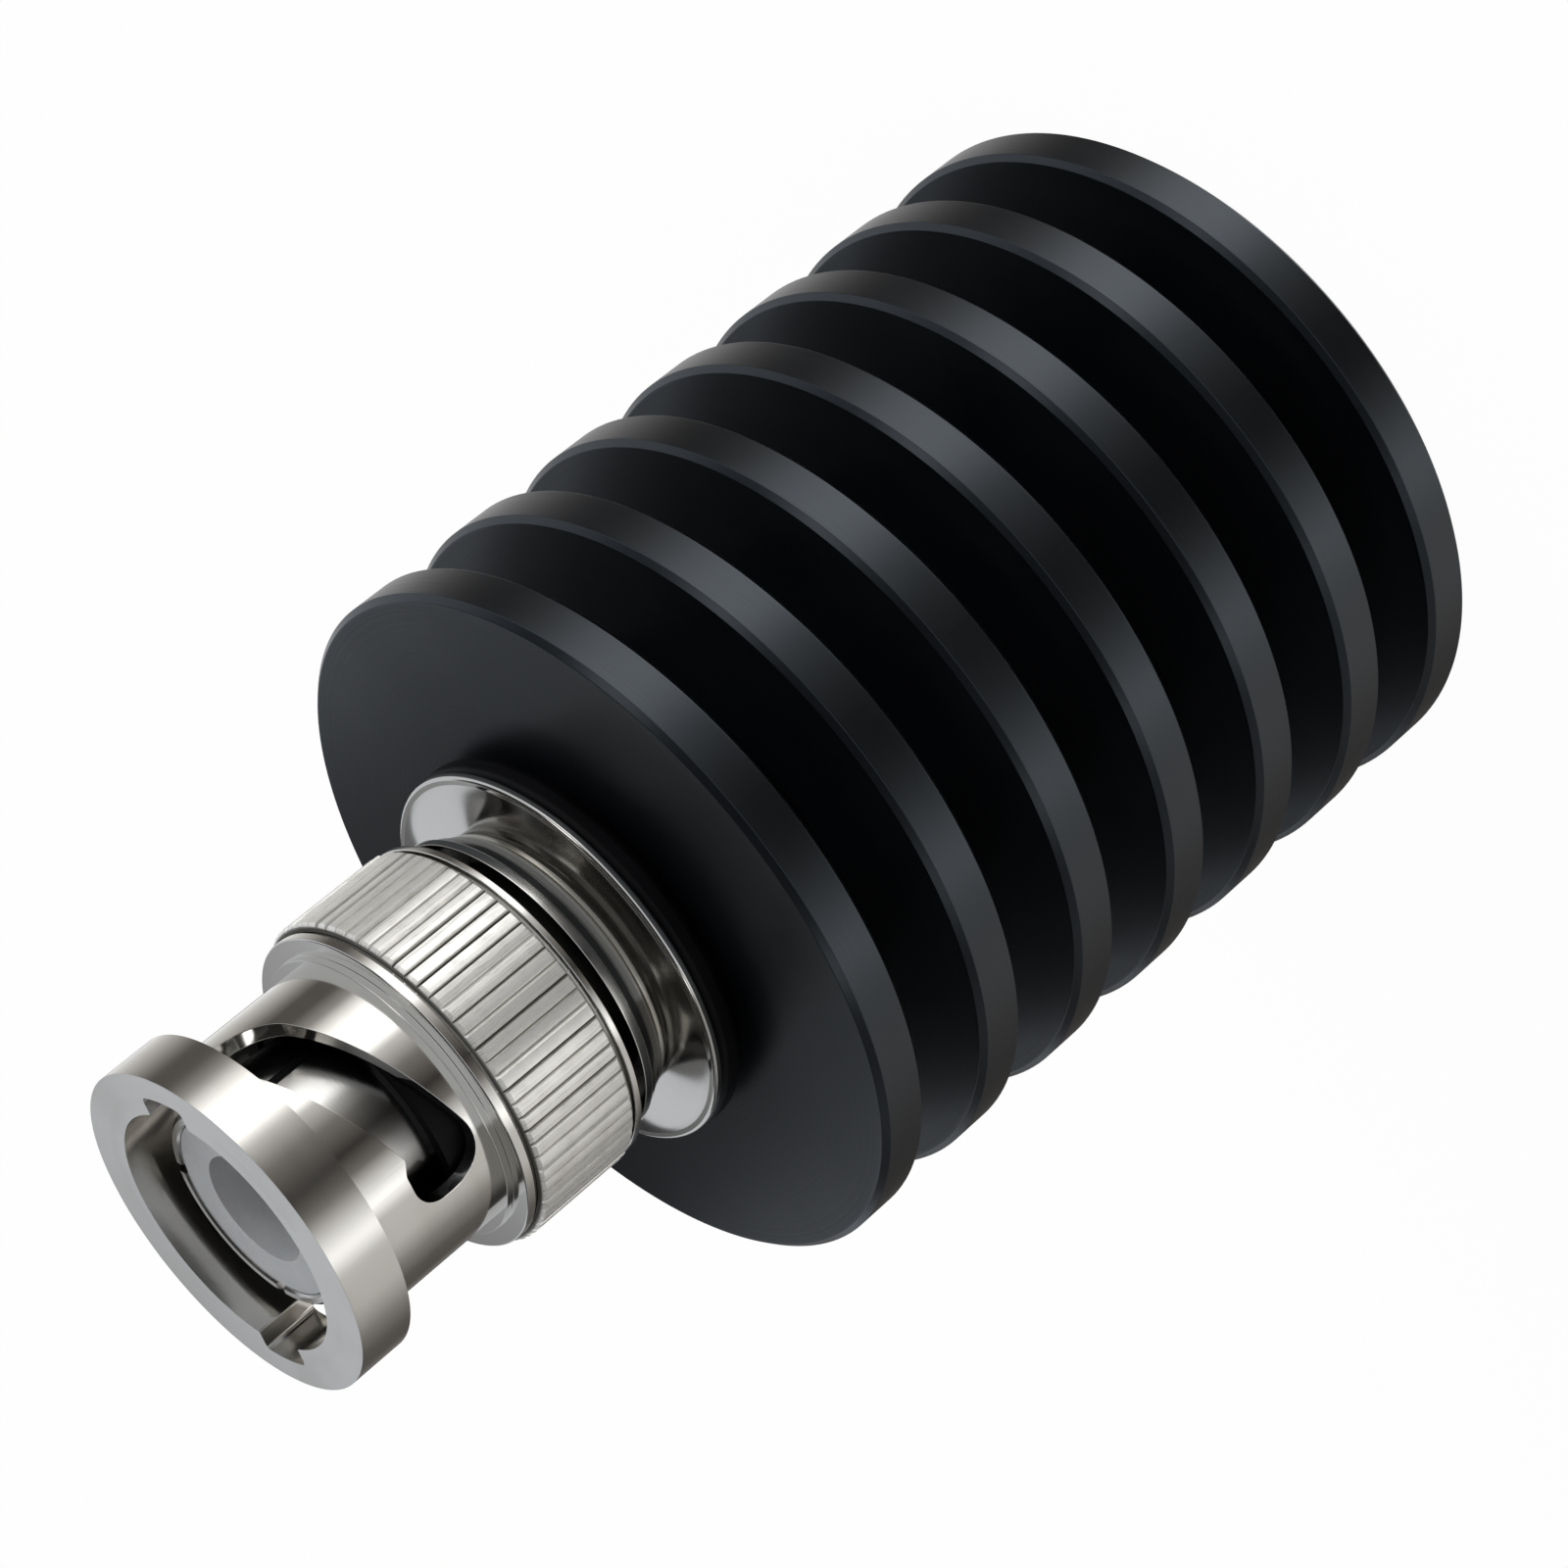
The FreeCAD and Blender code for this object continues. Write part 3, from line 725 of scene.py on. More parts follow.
@dataclass
class HeatSink:
    """Seven equal fins on one core, bored from the front."""

    fins: int = 7
    thickness: float = 2.0
    gap: float = 3.0
    radius: float = 14.0
    core: float = 8.0
    chamfer: float = 0.22
    edge_round: float = 0.05
    fillet: float = 0.25
    shank_bore: float = 6.02
    shank_depth: float = 6.5
    cavity: float = 5.47
    pocket: float = 4.02
    pocket_top: float = 9.5
    floor: float = 4.0
    steps: int = 192

    def outline(self) -> list[Corner]:
        """The turned outline from the rear face's middle, round the fins and down the bore.

        Returns:
            Corners that start and end on the axis.
        """
        corners = [Corner(0.0, 0.0)]
        for index in range(self.fins):
            low = index * (self.thickness + self.gap)
            high = low + self.thickness
            inner = self.radius - self.chamfer
            if index:
                corners.append(Corner(self.core, low, self.fillet))
            corners += [
                Corner(inner, low, self.edge_round),
                Corner(self.radius, low + self.chamfer, self.edge_round),
                Corner(self.radius, high - self.chamfer, self.edge_round),
                Corner(inner, high, self.edge_round),
            ]
            if index < self.fins - 1:
                corners.append(Corner(self.core, high, self.fillet))
        corners += [
            Corner(self.shank_bore, high, 0.1, 2),
            Corner(self.shank_bore, high - self.shank_depth),
            Corner(self.cavity, high - self.shank_depth),
            Corner(self.cavity, self.pocket_top),
            Corner(self.pocket, self.pocket_top),
            Corner(self.pocket, self.floor),
            Corner(0.0, self.floor),
        ]
        return corners

    def make(self, shop: Workshop) -> None:
        """Builds and dresses the heat sink."""
        shell = turned(self.outline(), self.steps, closed=False)
        shop.piece("finned_heat_sink", shell, Slot.ANODISED, Body.HOUSING, ["heat_sink"])


@dataclass
class Flange:
    """Trumpet flange with its stepped collar, and the seal ring under it."""

    rear: float = 25.5
    seat: float = 32.0
    rim_rear: float = 33.4
    rim_front: float = 33.8
    rim_radius: float = 7.75
    rim_round: float = 0.14
    pilot: float = 6.8
    shank: float = 6.0
    neck: float = 5.5
    neck_height: float = 34.35
    trumpet_sag: float = 0.08
    trumpet_share: float = 0.97
    collar_radius: float = 6.2
    collar_steps: int = 3
    step_length: float = 0.43
    step_rise: float = 0.23
    groove: float = 0.1
    bore: float = 4.52
    rear_bore: float = 4.6
    line_bore: float = 3.45
    body_rear: float = 28.65
    ring_radius: float = 7.80
    ring_foot: float = 7.0
    ring_round: float = 0.62
    steps: int = 192

    def outline(self) -> list[Corner]:
        """The adapter's closed outline."""
        flat = self.rim_radius - 2 * self.rim_round
        start = Vector((flat, self.rim_front))
        end = Vector((self.neck, self.neck_height))
        chord = end - start
        inward = Vector((chord.y, -chord.x)).normalized()
        corner = (start + end) / 2 - inward * (2 * self.trumpet_sag)
        half = (start - corner).angle(end - corner) / 2
        sweep = (start - corner).length * self.trumpet_share * math.tan(half)
        corners = [
            Corner(self.rear_bore, self.rear),
            Corner(self.shank, self.rear, 0.3),
            Corner(self.shank, self.seat),
            Corner(self.pilot, self.seat),
            Corner(self.pilot, self.rim_rear),
            Corner(self.rim_radius, self.rim_rear, self.rim_round, 4),
            Corner(self.rim_radius, self.rim_front, self.rim_round, 5),
            Corner(flat, self.rim_front),
            Corner(corner.x, corner.y, sweep, 14),
            Corner(self.neck, self.neck_height),
        ]
        for index in range(self.collar_steps):
            low = self.neck_height + index * self.step_length
            radius = self.collar_radius - (self.collar_steps - 1 - index) * self.step_rise
            corners.append(Corner(radius - self.groove, low))
            corners.append(Corner(radius, low + self.groove, 0.03, 2))
            corners.append(Corner(radius, low + self.step_length, 0.04, 2))
        corners += [
            Corner(self.bore, low + self.step_length),
            Corner(self.bore, self.body_rear),
            Corner(self.line_bore, self.body_rear),
        ]
        return corners

    def make(self, shop: Workshop) -> None:
        """Builds and dresses the flange and its seal ring."""
        shell = turned(self.outline(), self.steps)
        bright = FLANGE_BRIGHT.build()
        shop.piece("trumpet_flange", shell, Slot.NICKEL, Body.HOUSING, ["flange_adapter"], finish=bright)
        ring = turned(
            [
                Corner(self.pilot + 0.02, self.seat),
                Corner(self.ring_foot, self.seat, 0.05, 2),
                Corner(self.ring_radius, self.seat + self.ring_round, self.ring_round * 0.6, 8),
                Corner(self.ring_radius, self.rim_rear, self.ring_round * 0.4, 6),
                Corner(self.pilot + 0.02, self.rim_rear),
            ],
            self.steps,
        )
        shop.piece("flange_seal", ring, Slot.RUBBER, Body.HOUSING, ["seal_ring"])


@dataclass
class CouplingNut:
    """The nut: knurl, smooth rings, cam-slotted sleeve and grooved front collar."""

    bore: float = 4.9
    rear: float = 36.29
    knurl_rear: float = 36.74
    knurl_front: float = 41.12
    nose_front: float = 41.67
    root_front: float = 41.95
    sleeve_front: float = 47.3
    front: float = 49.5
    rear_ring: float = 6.65
    crest: float = 6.75
    flutes: int = 72
    flute_depth: float = 0.26
    core_sink: float = 1.4
    band_sink: float = 1.3
    end_chamfer: float = 0.12
    nose_ring: float = 6.5
    root_step: float = 5.8
    sleeve: float = 5.45
    collar: float = 6.6
    cavity: float = 5.6
    groove: float = 5.95
    groove_rear: float = 36.79
    groove_front: float = 37.44
    step: float = 40.205
    edge_round: float = 0.06
    collar_share: float = 0.8
    rim_bevel: float = 0.04
    rim_deg: float = 50.0
    corner_deg: float = 60.0
    level_gap: float = 0.01
    undercut: float = 0.15
    flute_places: tuple[Pair, ...] = (
        (0.0, 1.0), (0.07, 0.5), (0.14, 0.05), (0.5, 0.0), (0.86, 0.05), (0.93, 0.5),
    )
    least_depth: float = 0.45
    lean: float = 0.07
    tilt: float = 0.05
    tilt_everywhere: float = 0.2
    lug_half: float = 1.1
    lug_reach: float = 5.635
    detent_deg: float = -122.0
    turn_deg: float = 88.0
    slot_half: float = 1.05
    detent_rear: float = 42.1
    detent_length: float = 3.05
    ramp_slope: float = 0.314
    ramp_round: float = 2.6
    heel_round: float = 1.5
    detent_round: float = 1.0
    tongue_drop: float = 0.25
    tongue_share: float = 0.52
    tongue_round: float = 0.35
    tip_round: float = 0.2
    mouth_round: float = 0.1
    mouth_steepness: float = 1.08
    groove_lip: float = 0.10
    groove_round: float = 0.25
    groove_clear: float = 0.06
    groove_steps: int = 12
    floor_shares: tuple[float, ...] = (-0.45, -0.2, 0.0, 0.2, 0.45)
    weld: float = 0.02
    columns: int = 168
    steps: int = 216
    seed: int = 7

    def core(self) -> Shell:
        """The solid ring under the knurl, with the spring's cavity and the smooth rings."""
        under = self.crest - self.core_sink * self.flute_depth
        bevel = self.edge_round
        corners = [
            Corner(self.cavity, self.rear, 0.08, 2),
            Corner(self.rear_ring, self.rear, bevel),
            Corner(self.rear_ring, self.knurl_rear - self.undercut, bevel),
            Corner(under, self.knurl_rear - self.undercut),
            Corner(under, self.knurl_front + self.undercut),
            Corner(self.nose_ring, self.knurl_front + self.undercut, bevel),
            Corner(self.nose_ring, self.nose_front, bevel),
            Corner(self.root_step, self.nose_front, 0.03, 2),
            Corner(self.root_step, self.root_front, 0.03, 2),
            Corner(self.bore, self.root_front),
            Corner(self.bore, self.step),
            Corner(self.cavity, self.step),
            Corner(self.cavity, self.groove_front),
            Corner(self.groove, self.groove_front),
            Corner(self.groove, self.groove_rear),
            Corner(self.cavity, self.groove_rear),
        ]
        return turned(corners, self.steps)

    def knurl(self) -> Shell:
        """The band of straight flutes, a fluted loop drawn up in four levels.

        Returns:
            A closed band whose inner wall is hidden in the core.
        """
        places = self.flute_places
        count = self.flutes * len(places)
        under = self.crest - self.band_sink * self.flute_depth
        draw = random.Random(self.seed)
        depths = [self.flute_depth * draw.uniform(self.least_depth, 1.0) for _ in range(self.flutes)]
        leans = [draw.uniform(-self.lean, self.lean) for _ in range(self.flutes)]
        tilts = [draw.uniform(-self.tilt, self.tilt) for _ in range(self.flutes)]
        levels = (
            (self.knurl_rear, self.crest - self.end_chamfer),
            (self.knurl_rear + self.end_chamfer, self.crest),
            (self.knurl_front - self.end_chamfer, self.crest),
            (self.knurl_front, self.crest - self.end_chamfer),
        )
        shell = bmesh.new()
        made = bmesh.ops.create_circle(shell, cap_ends=False, segments=count, radius=1.0)
        loop = sorted(made["verts"], key=lambda vert: math.atan2(vert.co.y, vert.co.x) % FULL_TURN)

        def settle(verts: Sequence[Vert], height: float, limit: float) -> None:
            """Moves one loop's vertices to their teeth at a height."""
            for index, vert in enumerate(verts):
                tooth, part = divmod(index, len(places))
                share, sink = places[part]
                lean = leans[tooth] if part else 0.0
                depth = depths[tooth if share < 0.5 else (tooth + 1) % self.flutes]
                tilt = max(0.0, tilts[tooth] * (2 * share - 1)) + self.tilt_everywhere * abs(tilts[tooth])
                angle = (tooth + share + lean) * FULL_TURN / self.flutes
                radius = min(self.crest - sink * depth - tilt * (1.0 - sink), limit)
                vert.co = (radius * math.cos(angle), radius * math.sin(angle), height)

        settle(loop, *levels[0])
        ring = loop
        for height, limit in levels[1:]:
            grown = bmesh.ops.extrude_edge_only(shell, edges=self._loop_edges(ring))
            ring = self._in_step(ring, drawn(grown))
            settle(ring, height, limit)
        for first, height in ((loop, levels[0][0]), (ring, levels[-1][0])):
            grown = bmesh.ops.extrude_edge_only(shell, edges=self._loop_edges(first))
            for vert in drawn(grown):
                angle = math.atan2(vert.co.y, vert.co.x)
                vert.co = (under * math.cos(angle), under * math.sin(angle), height)
        rims = [edge for edge in shell.edges if edge.is_boundary]
        bmesh.ops.bridge_loops(shell, edges=rims)
        outward(shell)
        return shell

    @staticmethod
    def _loop_edges(ring: Sequence[Vert]) -> list[Edge]:
        """The edges that join a ring's vertices in order."""
        edges = []
        for index, vert in enumerate(ring):
            follower = ring[(index + 1) % len(ring)]
            edges.append(next(edge for edge in vert.link_edges if edge.other_vert(vert) is follower))
        return edges

    @staticmethod
    def _in_step(ring: Sequence[Vert], fresh: Sequence[Vert]) -> list[Vert]:
        """Orders new vertices as the ring that they were drawn from."""
        known = set(fresh)
        ordered = []
        for vert in ring:
            ordered.append(next(e.other_vert(vert) for e in vert.link_edges if e.other_vert(vert) in known))
        return ordered

    def sleeve_outline(self) -> list[Corner]:
        """The sleeve's wall laid flat, with both cam slots open to the top.

        Returns:
            Corners whose radius is the distance along the arc from the first detent.
        """
        girth = FULL_TURN * self.sleeve
        half_turn = girth / 2
        entry = self.sleeve * math.radians(self.turn_deg) + self.slot_half
        seam = (entry + half_turn - self.slot_half) / 2 - half_turn
        top = self.sleeve_front
        detent_top = self.detent_rear + self.detent_length
        ramp_low = self.detent_rear - self.ramp_slope * self.slot_half
        ramp_top = ramp_low + self.ramp_slope * (entry + self.slot_half)
        tongue = detent_top - self.tongue_drop
        mouth = entry - 2 * self.slot_half
        mouth_low = tongue + self.ramp_slope * self.mouth_steepness * (mouth - self.slot_half)
        foot = self.root_front
        corners = [Corner(seam, foot), Corner(seam + girth, foot), Corner(seam + girth, top)]
        for index in (1, 0):
            shift = index * half_turn
            corners += [
                Corner(shift + entry, top),
                Corner(shift + entry, ramp_top, self.ramp_round, 16),
                Corner(shift - self.slot_half, ramp_low, self.heel_round, 12),
                Corner(shift - self.slot_half, detent_top, self.detent_round, 12),
                Corner(shift + self.slot_half * self.tongue_share, detent_top, self.tongue_round, 6),
                Corner(shift + self.slot_half, tongue, self.tip_round, 5),
                Corner(shift + mouth, mouth_low, self.mouth_round, 3),
                Corner(shift + mouth, top),
            ]
        corners.append(Corner(seam, top))
        return corners

    def slotted_sleeve(self) -> Shell:
        """The sleeve's wall: cut flat, scored into columns, rolled round the axis and made thick."""
        corners = self.sleeve_outline()
        shell = bmesh.new()
        verts = wire(shell, [(corner.radius, 0.0, corner.height) for corner in corners])
        round_corners(shell, verts, corners)
        bmesh.ops.contextual_create(shell, geom=shell.edges[:])
        left = min(vert.co.x for vert in shell.verts)
        girth = FULL_TURN * self.sleeve
        for column in range(1, self.columns):
            cut = (left + girth * column / self.columns, 0.0, 0.0)
            everything = shell.verts[:] + shell.edges[:] + shell.faces[:]
            bmesh.ops.bisect_plane(
                shell, geom=everything, dist=self.weld, plane_co=cut, plane_no=(1.0, 0.0, 0.0)
            )
        bmesh.ops.remove_doubles(shell, verts=shell.verts[:], dist=self.weld)
        self._wrap(shell)
        bmesh.ops.remove_doubles(shell, verts=shell.verts[:], dist=self.weld / 5)
        outward(shell)
        grown = bmesh.ops.extrude_face_region(shell, geom=shell.faces[:])
        share = self.bore / self.sleeve
        for vert in drawn(grown):
            vert.co = (vert.co.x * share, vert.co.y * share, vert.co.z)
        outward(shell)
        soften(shell, self._slot_rims(shell), self.rim_bevel)
        outward(shell)
        return shell

    def _wrap(self, shell: Shell) -> None:
        """Rolls the flat wall round the axis."""
        for vert in shell.verts:
            angle = vert.co.x / self.sleeve + math.radians(self.detent_deg)
            vert.co = (self.sleeve * math.cos(angle), self.sleeve * math.sin(angle), vert.co.z)

    def _slot_rims(self, shell: Shell) -> list[Edge]:
        """The crisp edges along the slots, apart from the sleeve's two ends."""
        rims = []
        for edge in shell.edges:
            ends = (edge.verts[0].co.z, edge.verts[1].co.z)
            if max(ends) < self.root_front + self.level_gap or min(ends) > self.sleeve_front - self.level_gap:
                continue
            if len(edge.link_faces) == 2 and edge.calc_face_angle(0.0) > math.radians(self.rim_deg):
                rims.append(edge)
        return rims

    def bore_outline(self) -> list[Corner]:
        """The collar's bore in plan, with an entry groove at each end of the X axis.

        Returns:
            Corners whose radius is X and whose height is Y.
        """
        half, reach = self.lug_half, self.lug_reach
        wall = math.asin(half / self.bore)
        floor = math.asin(half / reach)
        corners = []
        for side in (1.0, -1.0):
            plan = [(self.bore, -wall, self.groove_lip, 3), (reach, -floor, self.groove_round, 5)]
            plan += [(reach, floor * share, 0.0, 0) for share in self.floor_shares]
            plan += [(reach, floor, self.groove_round, 5), (self.bore, wall, self.groove_lip, 3)]
            steps = self.steps // 2 - self.groove_steps
            start = wall + self.groove_clear
            span = math.pi - 2 * start
            plan += [(self.bore, start + span * step / steps, 0.0, 0) for step in range(steps + 1)]
            for radius, angle, bevel, segments in plan:
                x, y = side * radius * math.cos(angle), side * radius * math.sin(angle)
                corners.append(Corner(x, y, bevel, segments))
        return corners

    def front_collar(self) -> Shell:
        """The front collar: a ring with two entry grooves in its bore."""
        shell = bmesh.new()
        corners = self.bore_outline()
        verts = wire(shell, [(corner.radius, corner.height, 0.0) for corner in corners])
        round_corners(shell, verts, corners)
        bmesh.ops.create_circle(shell, cap_ends=False, segments=self.steps, radius=self.collar)
        rotate(shell, self.detent_deg + self.turn_deg, "Z")
        bmesh.ops.triangle_fill(shell, edges=shell.edges[:], use_beauty=True, use_dissolve=False)
        outward(shell)
        bmesh.ops.translate(shell, verts=shell.verts[:], vec=(0.0, 0.0, self.sleeve_front))
        grown = bmesh.ops.extrude_face_region(shell, geom=shell.faces[:])
        bmesh.ops.translate(shell, verts=drawn(grown), vec=(0.0, 0.0, self.front - self.sleeve_front))
        outward(shell)
        edges = []
        for edge in shell.edges:
            level = [vert.co.z for vert in edge.verts]
            flat = abs(level[0] - level[1]) < self.level_gap
            if flat and edge.calc_face_angle(0.0) > math.radians(self.corner_deg):
                edges.append(edge)
        soften(shell, edges, self.edge_round * self.collar_share, 2)
        outward(shell)
        return shell

    def make(self, shop: Workshop) -> None:
        """Builds and dresses the nut's four pieces."""
        pieces = (
            ("nut_core", self.core(), 38.0, NUT_BRIGHT.build()),
            ("nut_knurl", self.knurl(), 30.0, CutMetal().build()),
            ("nut_slotted_sleeve", self.slotted_sleeve(), 25.0, None),
            ("nut_front_collar", self.front_collar(), 25.0, NUT_SATIN.build()),
        )
        for name, shell, sharp_deg, finish in pieces:
            shop.piece(name, shell, Slot.NICKEL, Body.NUT, ["coupling_nut"], sharp_deg, finish)


@dataclass
class WaveSpring:
    """The wave washer, which flattens against the plug's shoulder as the nut is drawn forward."""

    fixed_end: float = 39.155
    travel: float = 0.7

    def make(self, shop: Workshop) -> None:
        """Swaps the rigid node for a copy with a mesh of its own."""
        shell = bmesh.new()
        shell.from_mesh(frame["nodes"]["wave_washer"].data)
        bmesh.ops.remove_doubles(shell, verts=shell.verts[:], dist=1e-7)
        bmesh.ops.scale(shell, vec=(1 / MM, 1 / MM, 1 / MM), verts=shell.verts[:])
        spring = shop.piece("wave_spring", shell, Slot.SPRING, Body.HOUSING, ["wave_washer"])
        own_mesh(spring)


# Studio


@dataclass(frozen=True)
class SoftBox:
    """A square area lamp, placed and aimed in millimetres, with its brightness where 1 is white."""

    name: str
    place: Triple
    aim: Triple
    size: float
    brightness: float
    colour: Triple = (1.0, 1.0, 1.0)

    def make(self) -> None:
        """Sets up the lamp."""
        lamp = bpy.data.lights.new(self.name, "AREA")
        lamp.shape = "SQUARE"
        lamp.size = self.size * MM
        lamp.color = self.colour
        lamp.energy = self.brightness * math.pi * (self.size * MM) ** 2
        holder = stand(self.name, lamp)
        place = Vector(self.place) * MM
        towards = Vector(self.aim) * MM - place
        turn = towards.to_track_quat("-Z", "Y").to_matrix().to_4x4()
        holder.matrix_world = Matrix.Translation(place) @ turn
        holder.visible_glossy = False


@dataclass
class Studio:
    """Camera, floor, soft lamps and the low cards that metal reflects."""

    camera_mm: Triple = (0.0, -150.206, 103.167)
    camera_right: Triple = (-0.63690, -0.36667, -0.67817)
    camera_ahead: Triple = (-0.00207, 0.88046, -0.47411)
    lens_mm: float = 108.416
    floor_half_m: float = 2.0
    floor_colour: Triple = (0.92, 0.92, 0.92)
    floor_own_white: float = 0.97
    world_level: float = 0.30
    world_gloss: float = 0.72
    world_tint: Triple = (0.93, 0.97, 1.04)
    card_inner_mm: float = 1.0
    card_outer_mm: float = 3200.0
    card_drop_mm: float = 260.0
    card_gain: float = 3.0
    card_steps: int = 96
    card_stops: tuple[Pair, ...] = (
        (0.000, 0.22), (0.070, 0.24), (0.105, 0.56), (0.135, 0.34), (0.180, 0.07), (0.222, 0.015),
        (0.285, 0.08), (0.335, 0.26), (0.365, 0.85), (0.420, 0.66), (0.475, 0.13), (0.515, 0.04),
        (0.560, 0.04), (0.620, 0.17), (0.700, 0.32), (0.745, 0.30), (0.785, 0.07), (0.835, 0.035),
        (0.885, 0.045), (0.940, 0.10), (1.000, 0.22),
    )
    back_card_mm: Triple = (0.0, 48.0, 32.0)
    back_card_size_mm: Pair = (30.0, 64.0)
    back_tone: float = 0.04
    back_rise_mm: Pair = (46.0, 66.0)
    back_rise: float = 0.32
    back_spread_mm: Pair = (-12.0, 12.0)
    back_spread: float = 0.12
    back_tint: Triple = (0.94, 0.97, 1.0)
    side_heights_mm: Pair = (18.0, 210.0)
    side_start_deg: float = 132.0
    side_sweep_deg: float = 80.0
    side_steps: int = 24
    side_tone: float = 0.30
    side_fade_mm: Pair = (80.0, 190.0)
    side_fade: float = 0.25
    canopy_radius_mm: float = 300.0
    canopy_from_deg: float = 37.8
    canopy_rings: int = 24
    canopy_tone: float = 0.035
    panel_soft_deg: Pair = (4.0, 3.0)
    panels: tuple[tuple[float, float, float, float, float], ...] = (
        (100.0, 116.0, 39.0, 44.0, 0.13),
        (98.0, 112.0, 50.0, 54.0, 0.24),
        (64.0, 76.0, 40.0, 45.0, 0.27),
        (66.0, 80.0, 50.0, 55.0, 0.16),
        (-160.0, -148.0, 44.0, 58.0, 2.4),
        (-44.0, -22.0, 44.0, 58.0, 2.6),
    )

    def camera(self) -> None:
        """Places the camera at the photograph's viewing angle."""
        data = bpy.data.cameras.new("photo_camera")
        data.lens = self.lens_mm
        data.sensor_width = 36.0
        data.clip_start = 0.005
        data.clip_end = 20.0
        holder = stand("photo_camera", data)
        right = Vector(self.camera_right).normalized()
        ahead = Vector(self.camera_ahead).normalized()
        up = right.cross(ahead).normalized()
        turn = Matrix((right, up, -ahead)).transposed().to_4x4()
        holder.matrix_world = Matrix.Translation(Vector(self.camera_mm) * MM) @ turn
        bpy.context.scene.camera = holder

    @staticmethod
    def rays(graph: Graph) -> tuple[Value, Value]:
        """Two flags: one for camera and transmission rays, and one for glossy rays."""
        node = graph.add("ShaderNodeLightPath").socket.node
        names = ("Is Camera Ray", "Is Transmission Ray", "Is Glossy Ray")
        sight, through, gloss = (Value(graph, node.outputs[name]) for name in names)
        return sight.largest(through), gloss

    def world(self) -> None:
        """White behind the part, and a plainer level of light on it."""
        world = bpy.data.worlds.new("studio_white")
        world.use_nodes = True
        bpy.context.scene.world = world
        graph = Graph("studio_white", world.node_tree)
        sight, gloss = self.rays(graph)
        level = self.world_level + sight * (1.0 - self.world_level)
        level = level + gloss * (self.world_gloss - self.world_level)
        colour = graph.blend(gloss, WHITE, rgba(self.world_tint))
        sky = graph.add("ShaderNodeBackground", {}, {"Color": colour, "Strength": level})
        graph.add("ShaderNodeOutputWorld", {}, {"Surface": sky})

    def floor(self) -> None:
        """A plain pale floor that keeps the part's shadow."""
        shell = bmesh.new()
        bmesh.ops.create_grid(shell, x_segments=1, y_segments=1, size=self.floor_half_m)
        graph = Graph("pale_floor")
        cloth = graph.add("ShaderNodeBsdfDiffuse", {}, {"Color": rgba(self.floor_colour)})
        glow = graph.add("ShaderNodeEmission", {}, {"Color": WHITE, "Strength": 1.0})
        sight, gloss = self.rays(graph)
        share = sight.largest(gloss) * self.floor_own_white
        mixed = graph.add("ShaderNodeMixShader", {}, {0: share, 1: cloth, 2: glow})
        graph.add("ShaderNodeOutputMaterial", {}, {"Surface": mixed})
        self._staged("studio_floor", shell, graph.material, ("glossy",))

    def cards(self) -> None:
        """Light and dark cards far below the part, behind it and to its left, seen only in its gloss."""
        shell = bmesh.new()
        reaches = (self.card_inner_mm, self.card_outer_mm)
        wire(shell, [(reach * MM, 0.0, -self.card_drop_mm * MM) for reach in reaches], closed=False)
        spin(shell, self.card_steps)
        graph = Graph("card_ring")
        turn = graph.cylinder()[1] + 0.5
        tone = graph.add("ShaderNodeValToRGB", {"stops": self.card_stops}, {0: turn})
        self._staged("card_ring", shell, graph.glow(tone, self.card_gain), GLOSS_ONLY)

        shell = bmesh.new()
        bmesh.ops.create_grid(shell, x_segments=1, y_segments=1, size=0.5)
        wide, high = self.back_card_size_mm
        bmesh.ops.scale(shell, vec=(wide * MM, high * MM, 1.0), verts=shell.verts[:])
        rotate(shell, 90.0, "X")
        bmesh.ops.translate(shell, verts=shell.verts[:], vec=Vector(self.back_card_mm) * MM)
        graph = Graph("back_card")
        x, _, z = graph.parts(graph.place())
        tone = self.back_tone + self._fade(z, self.back_rise_mm) * self.back_rise
        tone = tone + self._fade(x, self.back_spread_mm) * self.back_spread
        self._staged("back_card", shell, graph.glow(rgba(self.back_tint), tone), GLOSS_ONLY)

        shell = bmesh.new()
        start = math.radians(self.side_start_deg)
        reach = self.canopy_radius_mm * MM
        foot = (reach * math.cos(start), reach * math.sin(start))
        wire(shell, [(*foot, height * MM) for height in self.side_heights_mm], closed=False)
        spin(shell, self.side_steps, math.radians(self.side_sweep_deg))
        graph = Graph("side_card")
        y = graph.parts(graph.place())[1]
        tone = self.side_tone - self._fade(y, self.side_fade_mm) * self.side_fade
        self._staged("side_card", shell, graph.glow(WHITE, tone), GLOSS_ONLY)

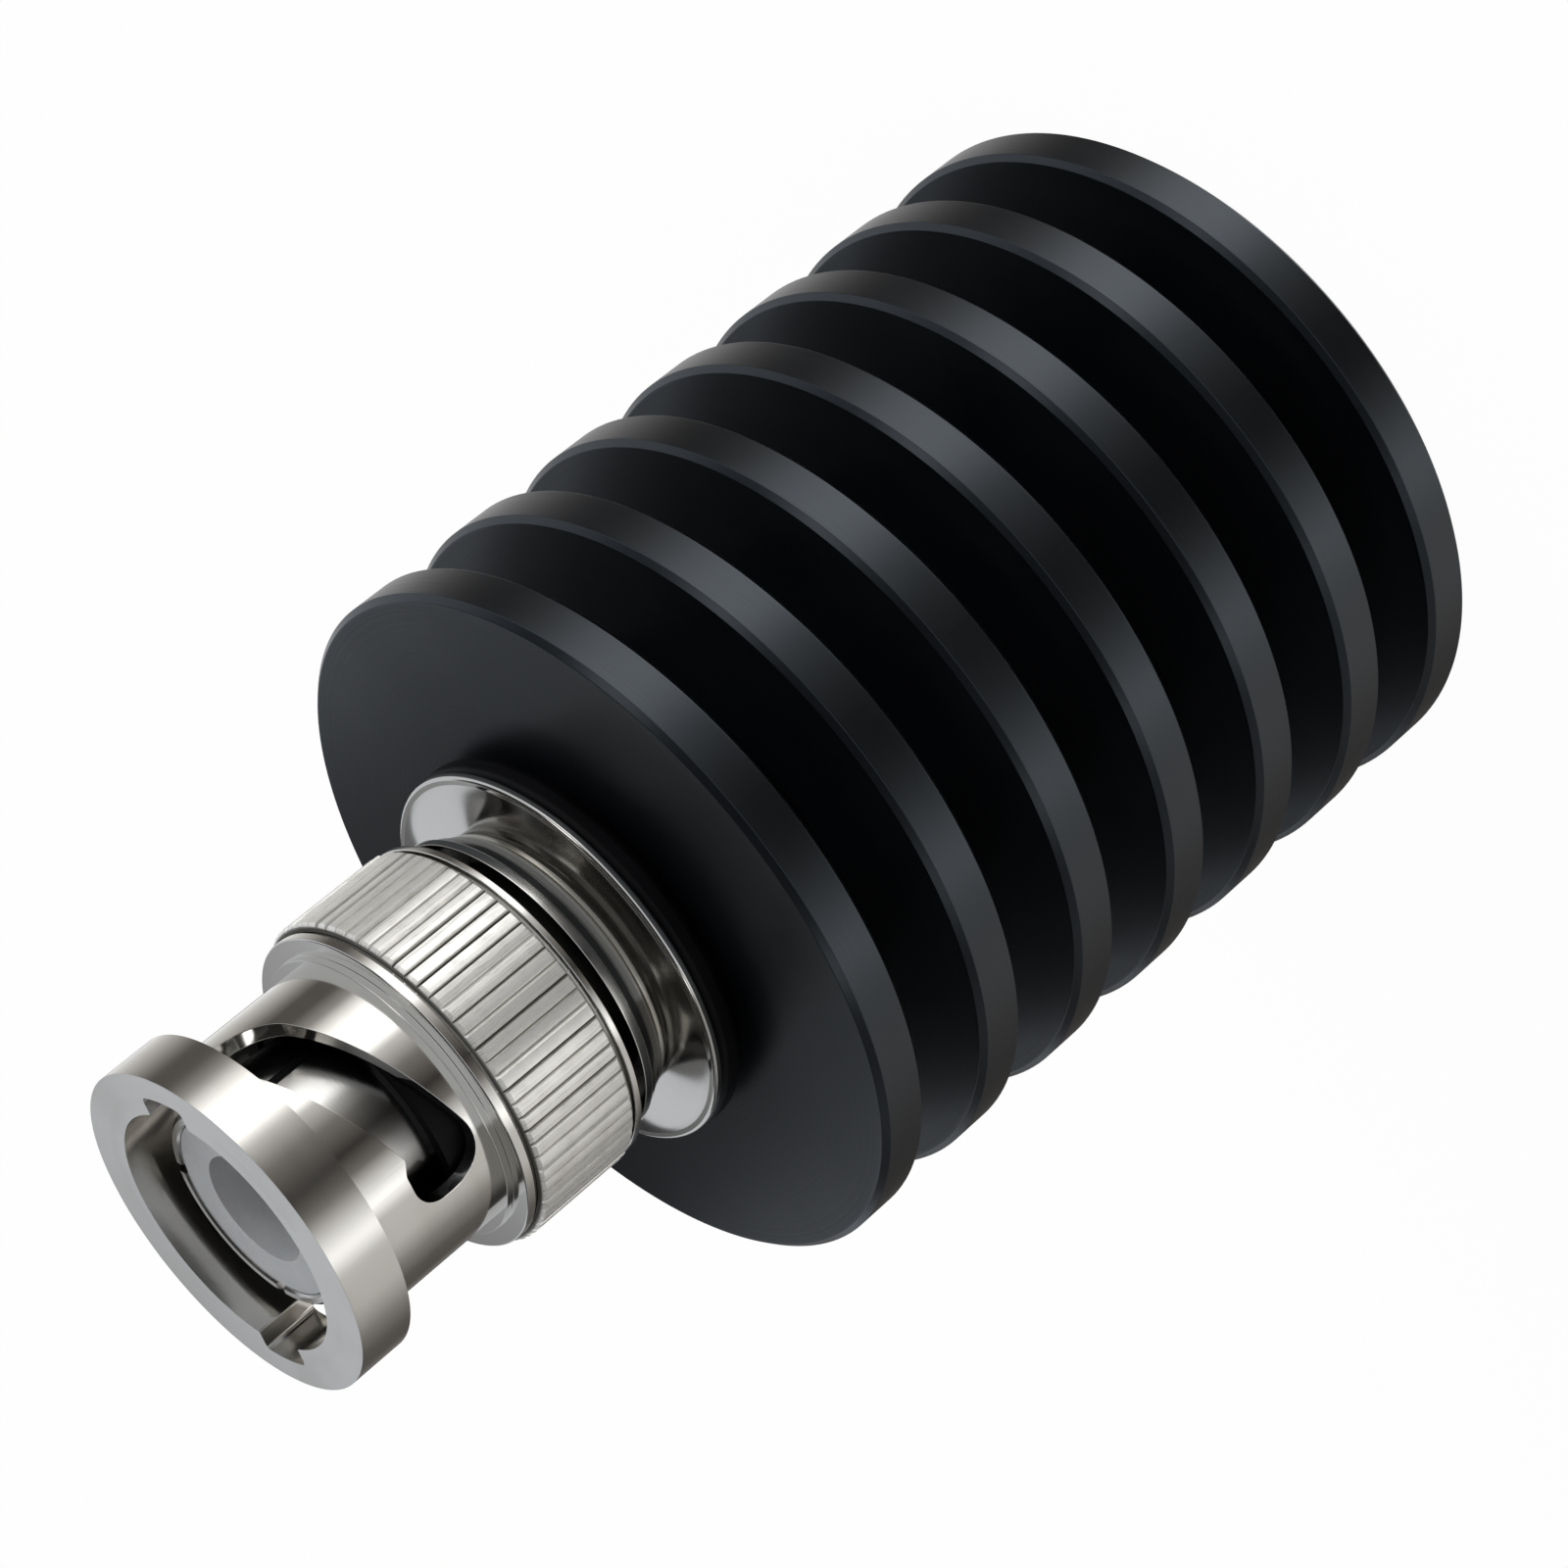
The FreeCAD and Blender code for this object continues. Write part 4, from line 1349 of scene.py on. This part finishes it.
    def canopy(self) -> None:
        """A dark ceiling with soft panels, seen only in the part's gloss."""
        shell = bmesh.new()
        radius = self.canopy_radius_mm * MM
        arc = 90.0 - self.canopy_from_deg
        shares = (step / self.canopy_rings for step in range(self.canopy_rings + 1))
        rises = [math.radians(self.canopy_from_deg + arc * share) for share in shares]
        wire(shell, [(radius * math.cos(rise), 0.0, radius * math.sin(rise)) for rise in rises], closed=False)
        spin(shell, self.card_steps)
        bmesh.ops.remove_doubles(shell, verts=shell.verts[:], dist=1e-6)
        graph = Graph("canopy")
        _, turn, z = graph.cylinder()
        azimuth = turn * 360.0
        rise = (z / radius).smallest(0.9999).arcsine() * (180 / math.pi)
        side_soft, rise_soft = self.panel_soft_deg
        tone = self.canopy_tone
        for start, stop, low, high, gain in self.panels:
            tone = azimuth.window(start, stop, side_soft) * rise.window(low, high, rise_soft) * gain + tone
        self._staged("canopy", shell, graph.glow(WHITE, tone), GLOSS_ONLY)

    @staticmethod
    def _fade(place: Value, span_mm: Pair) -> Value:
        """Zero before a span in millimetres, one past it and smooth between."""
        low, high = span_mm
        return place.ramp(low * MM, high * MM)

    @staticmethod
    def _staged(name: str, shell: Shell, material: Material, hidden_from: Sequence[str]) -> None:
        """Makes a piece of the studio that some kinds of ray don't meet."""
        card = stand(name, as_mesh(name, shell))
        card.data.materials.append(material)
        for kind in hidden_from:
            setattr(card, "visible_" + kind, False)

    def make(self) -> None:
        """Sets up the whole studio."""
        scene = bpy.context.scene
        scene.view_settings.view_transform = "Standard"
        self.camera()
        self.world()
        self.floor()
        self.cards()
        self.canopy()
        lamps = (
            SoftBox("key_lamp", (-260.0, -420.0, 520.0), (0.0, 0.0, 30.0), 360.0, 2.2),
            SoftBox("side_lamp", (460.0, -160.0, 260.0), (0.0, 0.0, 30.0), 300.0, 5.0, (0.97, 0.985, 1.0)),
            SoftBox("top_lamp", (40.0, 120.0, 620.0), (0.0, 0.0, 20.0), 320.0, 2.0),
        )
        for lamp in lamps:
            lamp.make()


def main() -> None:
    """Builds the studio and the part."""
    logging.basicConfig(level=logging.INFO, format="%(name)s: %(message)s")
    Studio().make()
    shop = Workshop(finishes())
    shop.dress_nodes()
    for assembly in (HeatSink(), Flange(), CouplingNut(), WaveSpring()):
        assembly.make(shop)


if __name__ == "__main__":
    main()
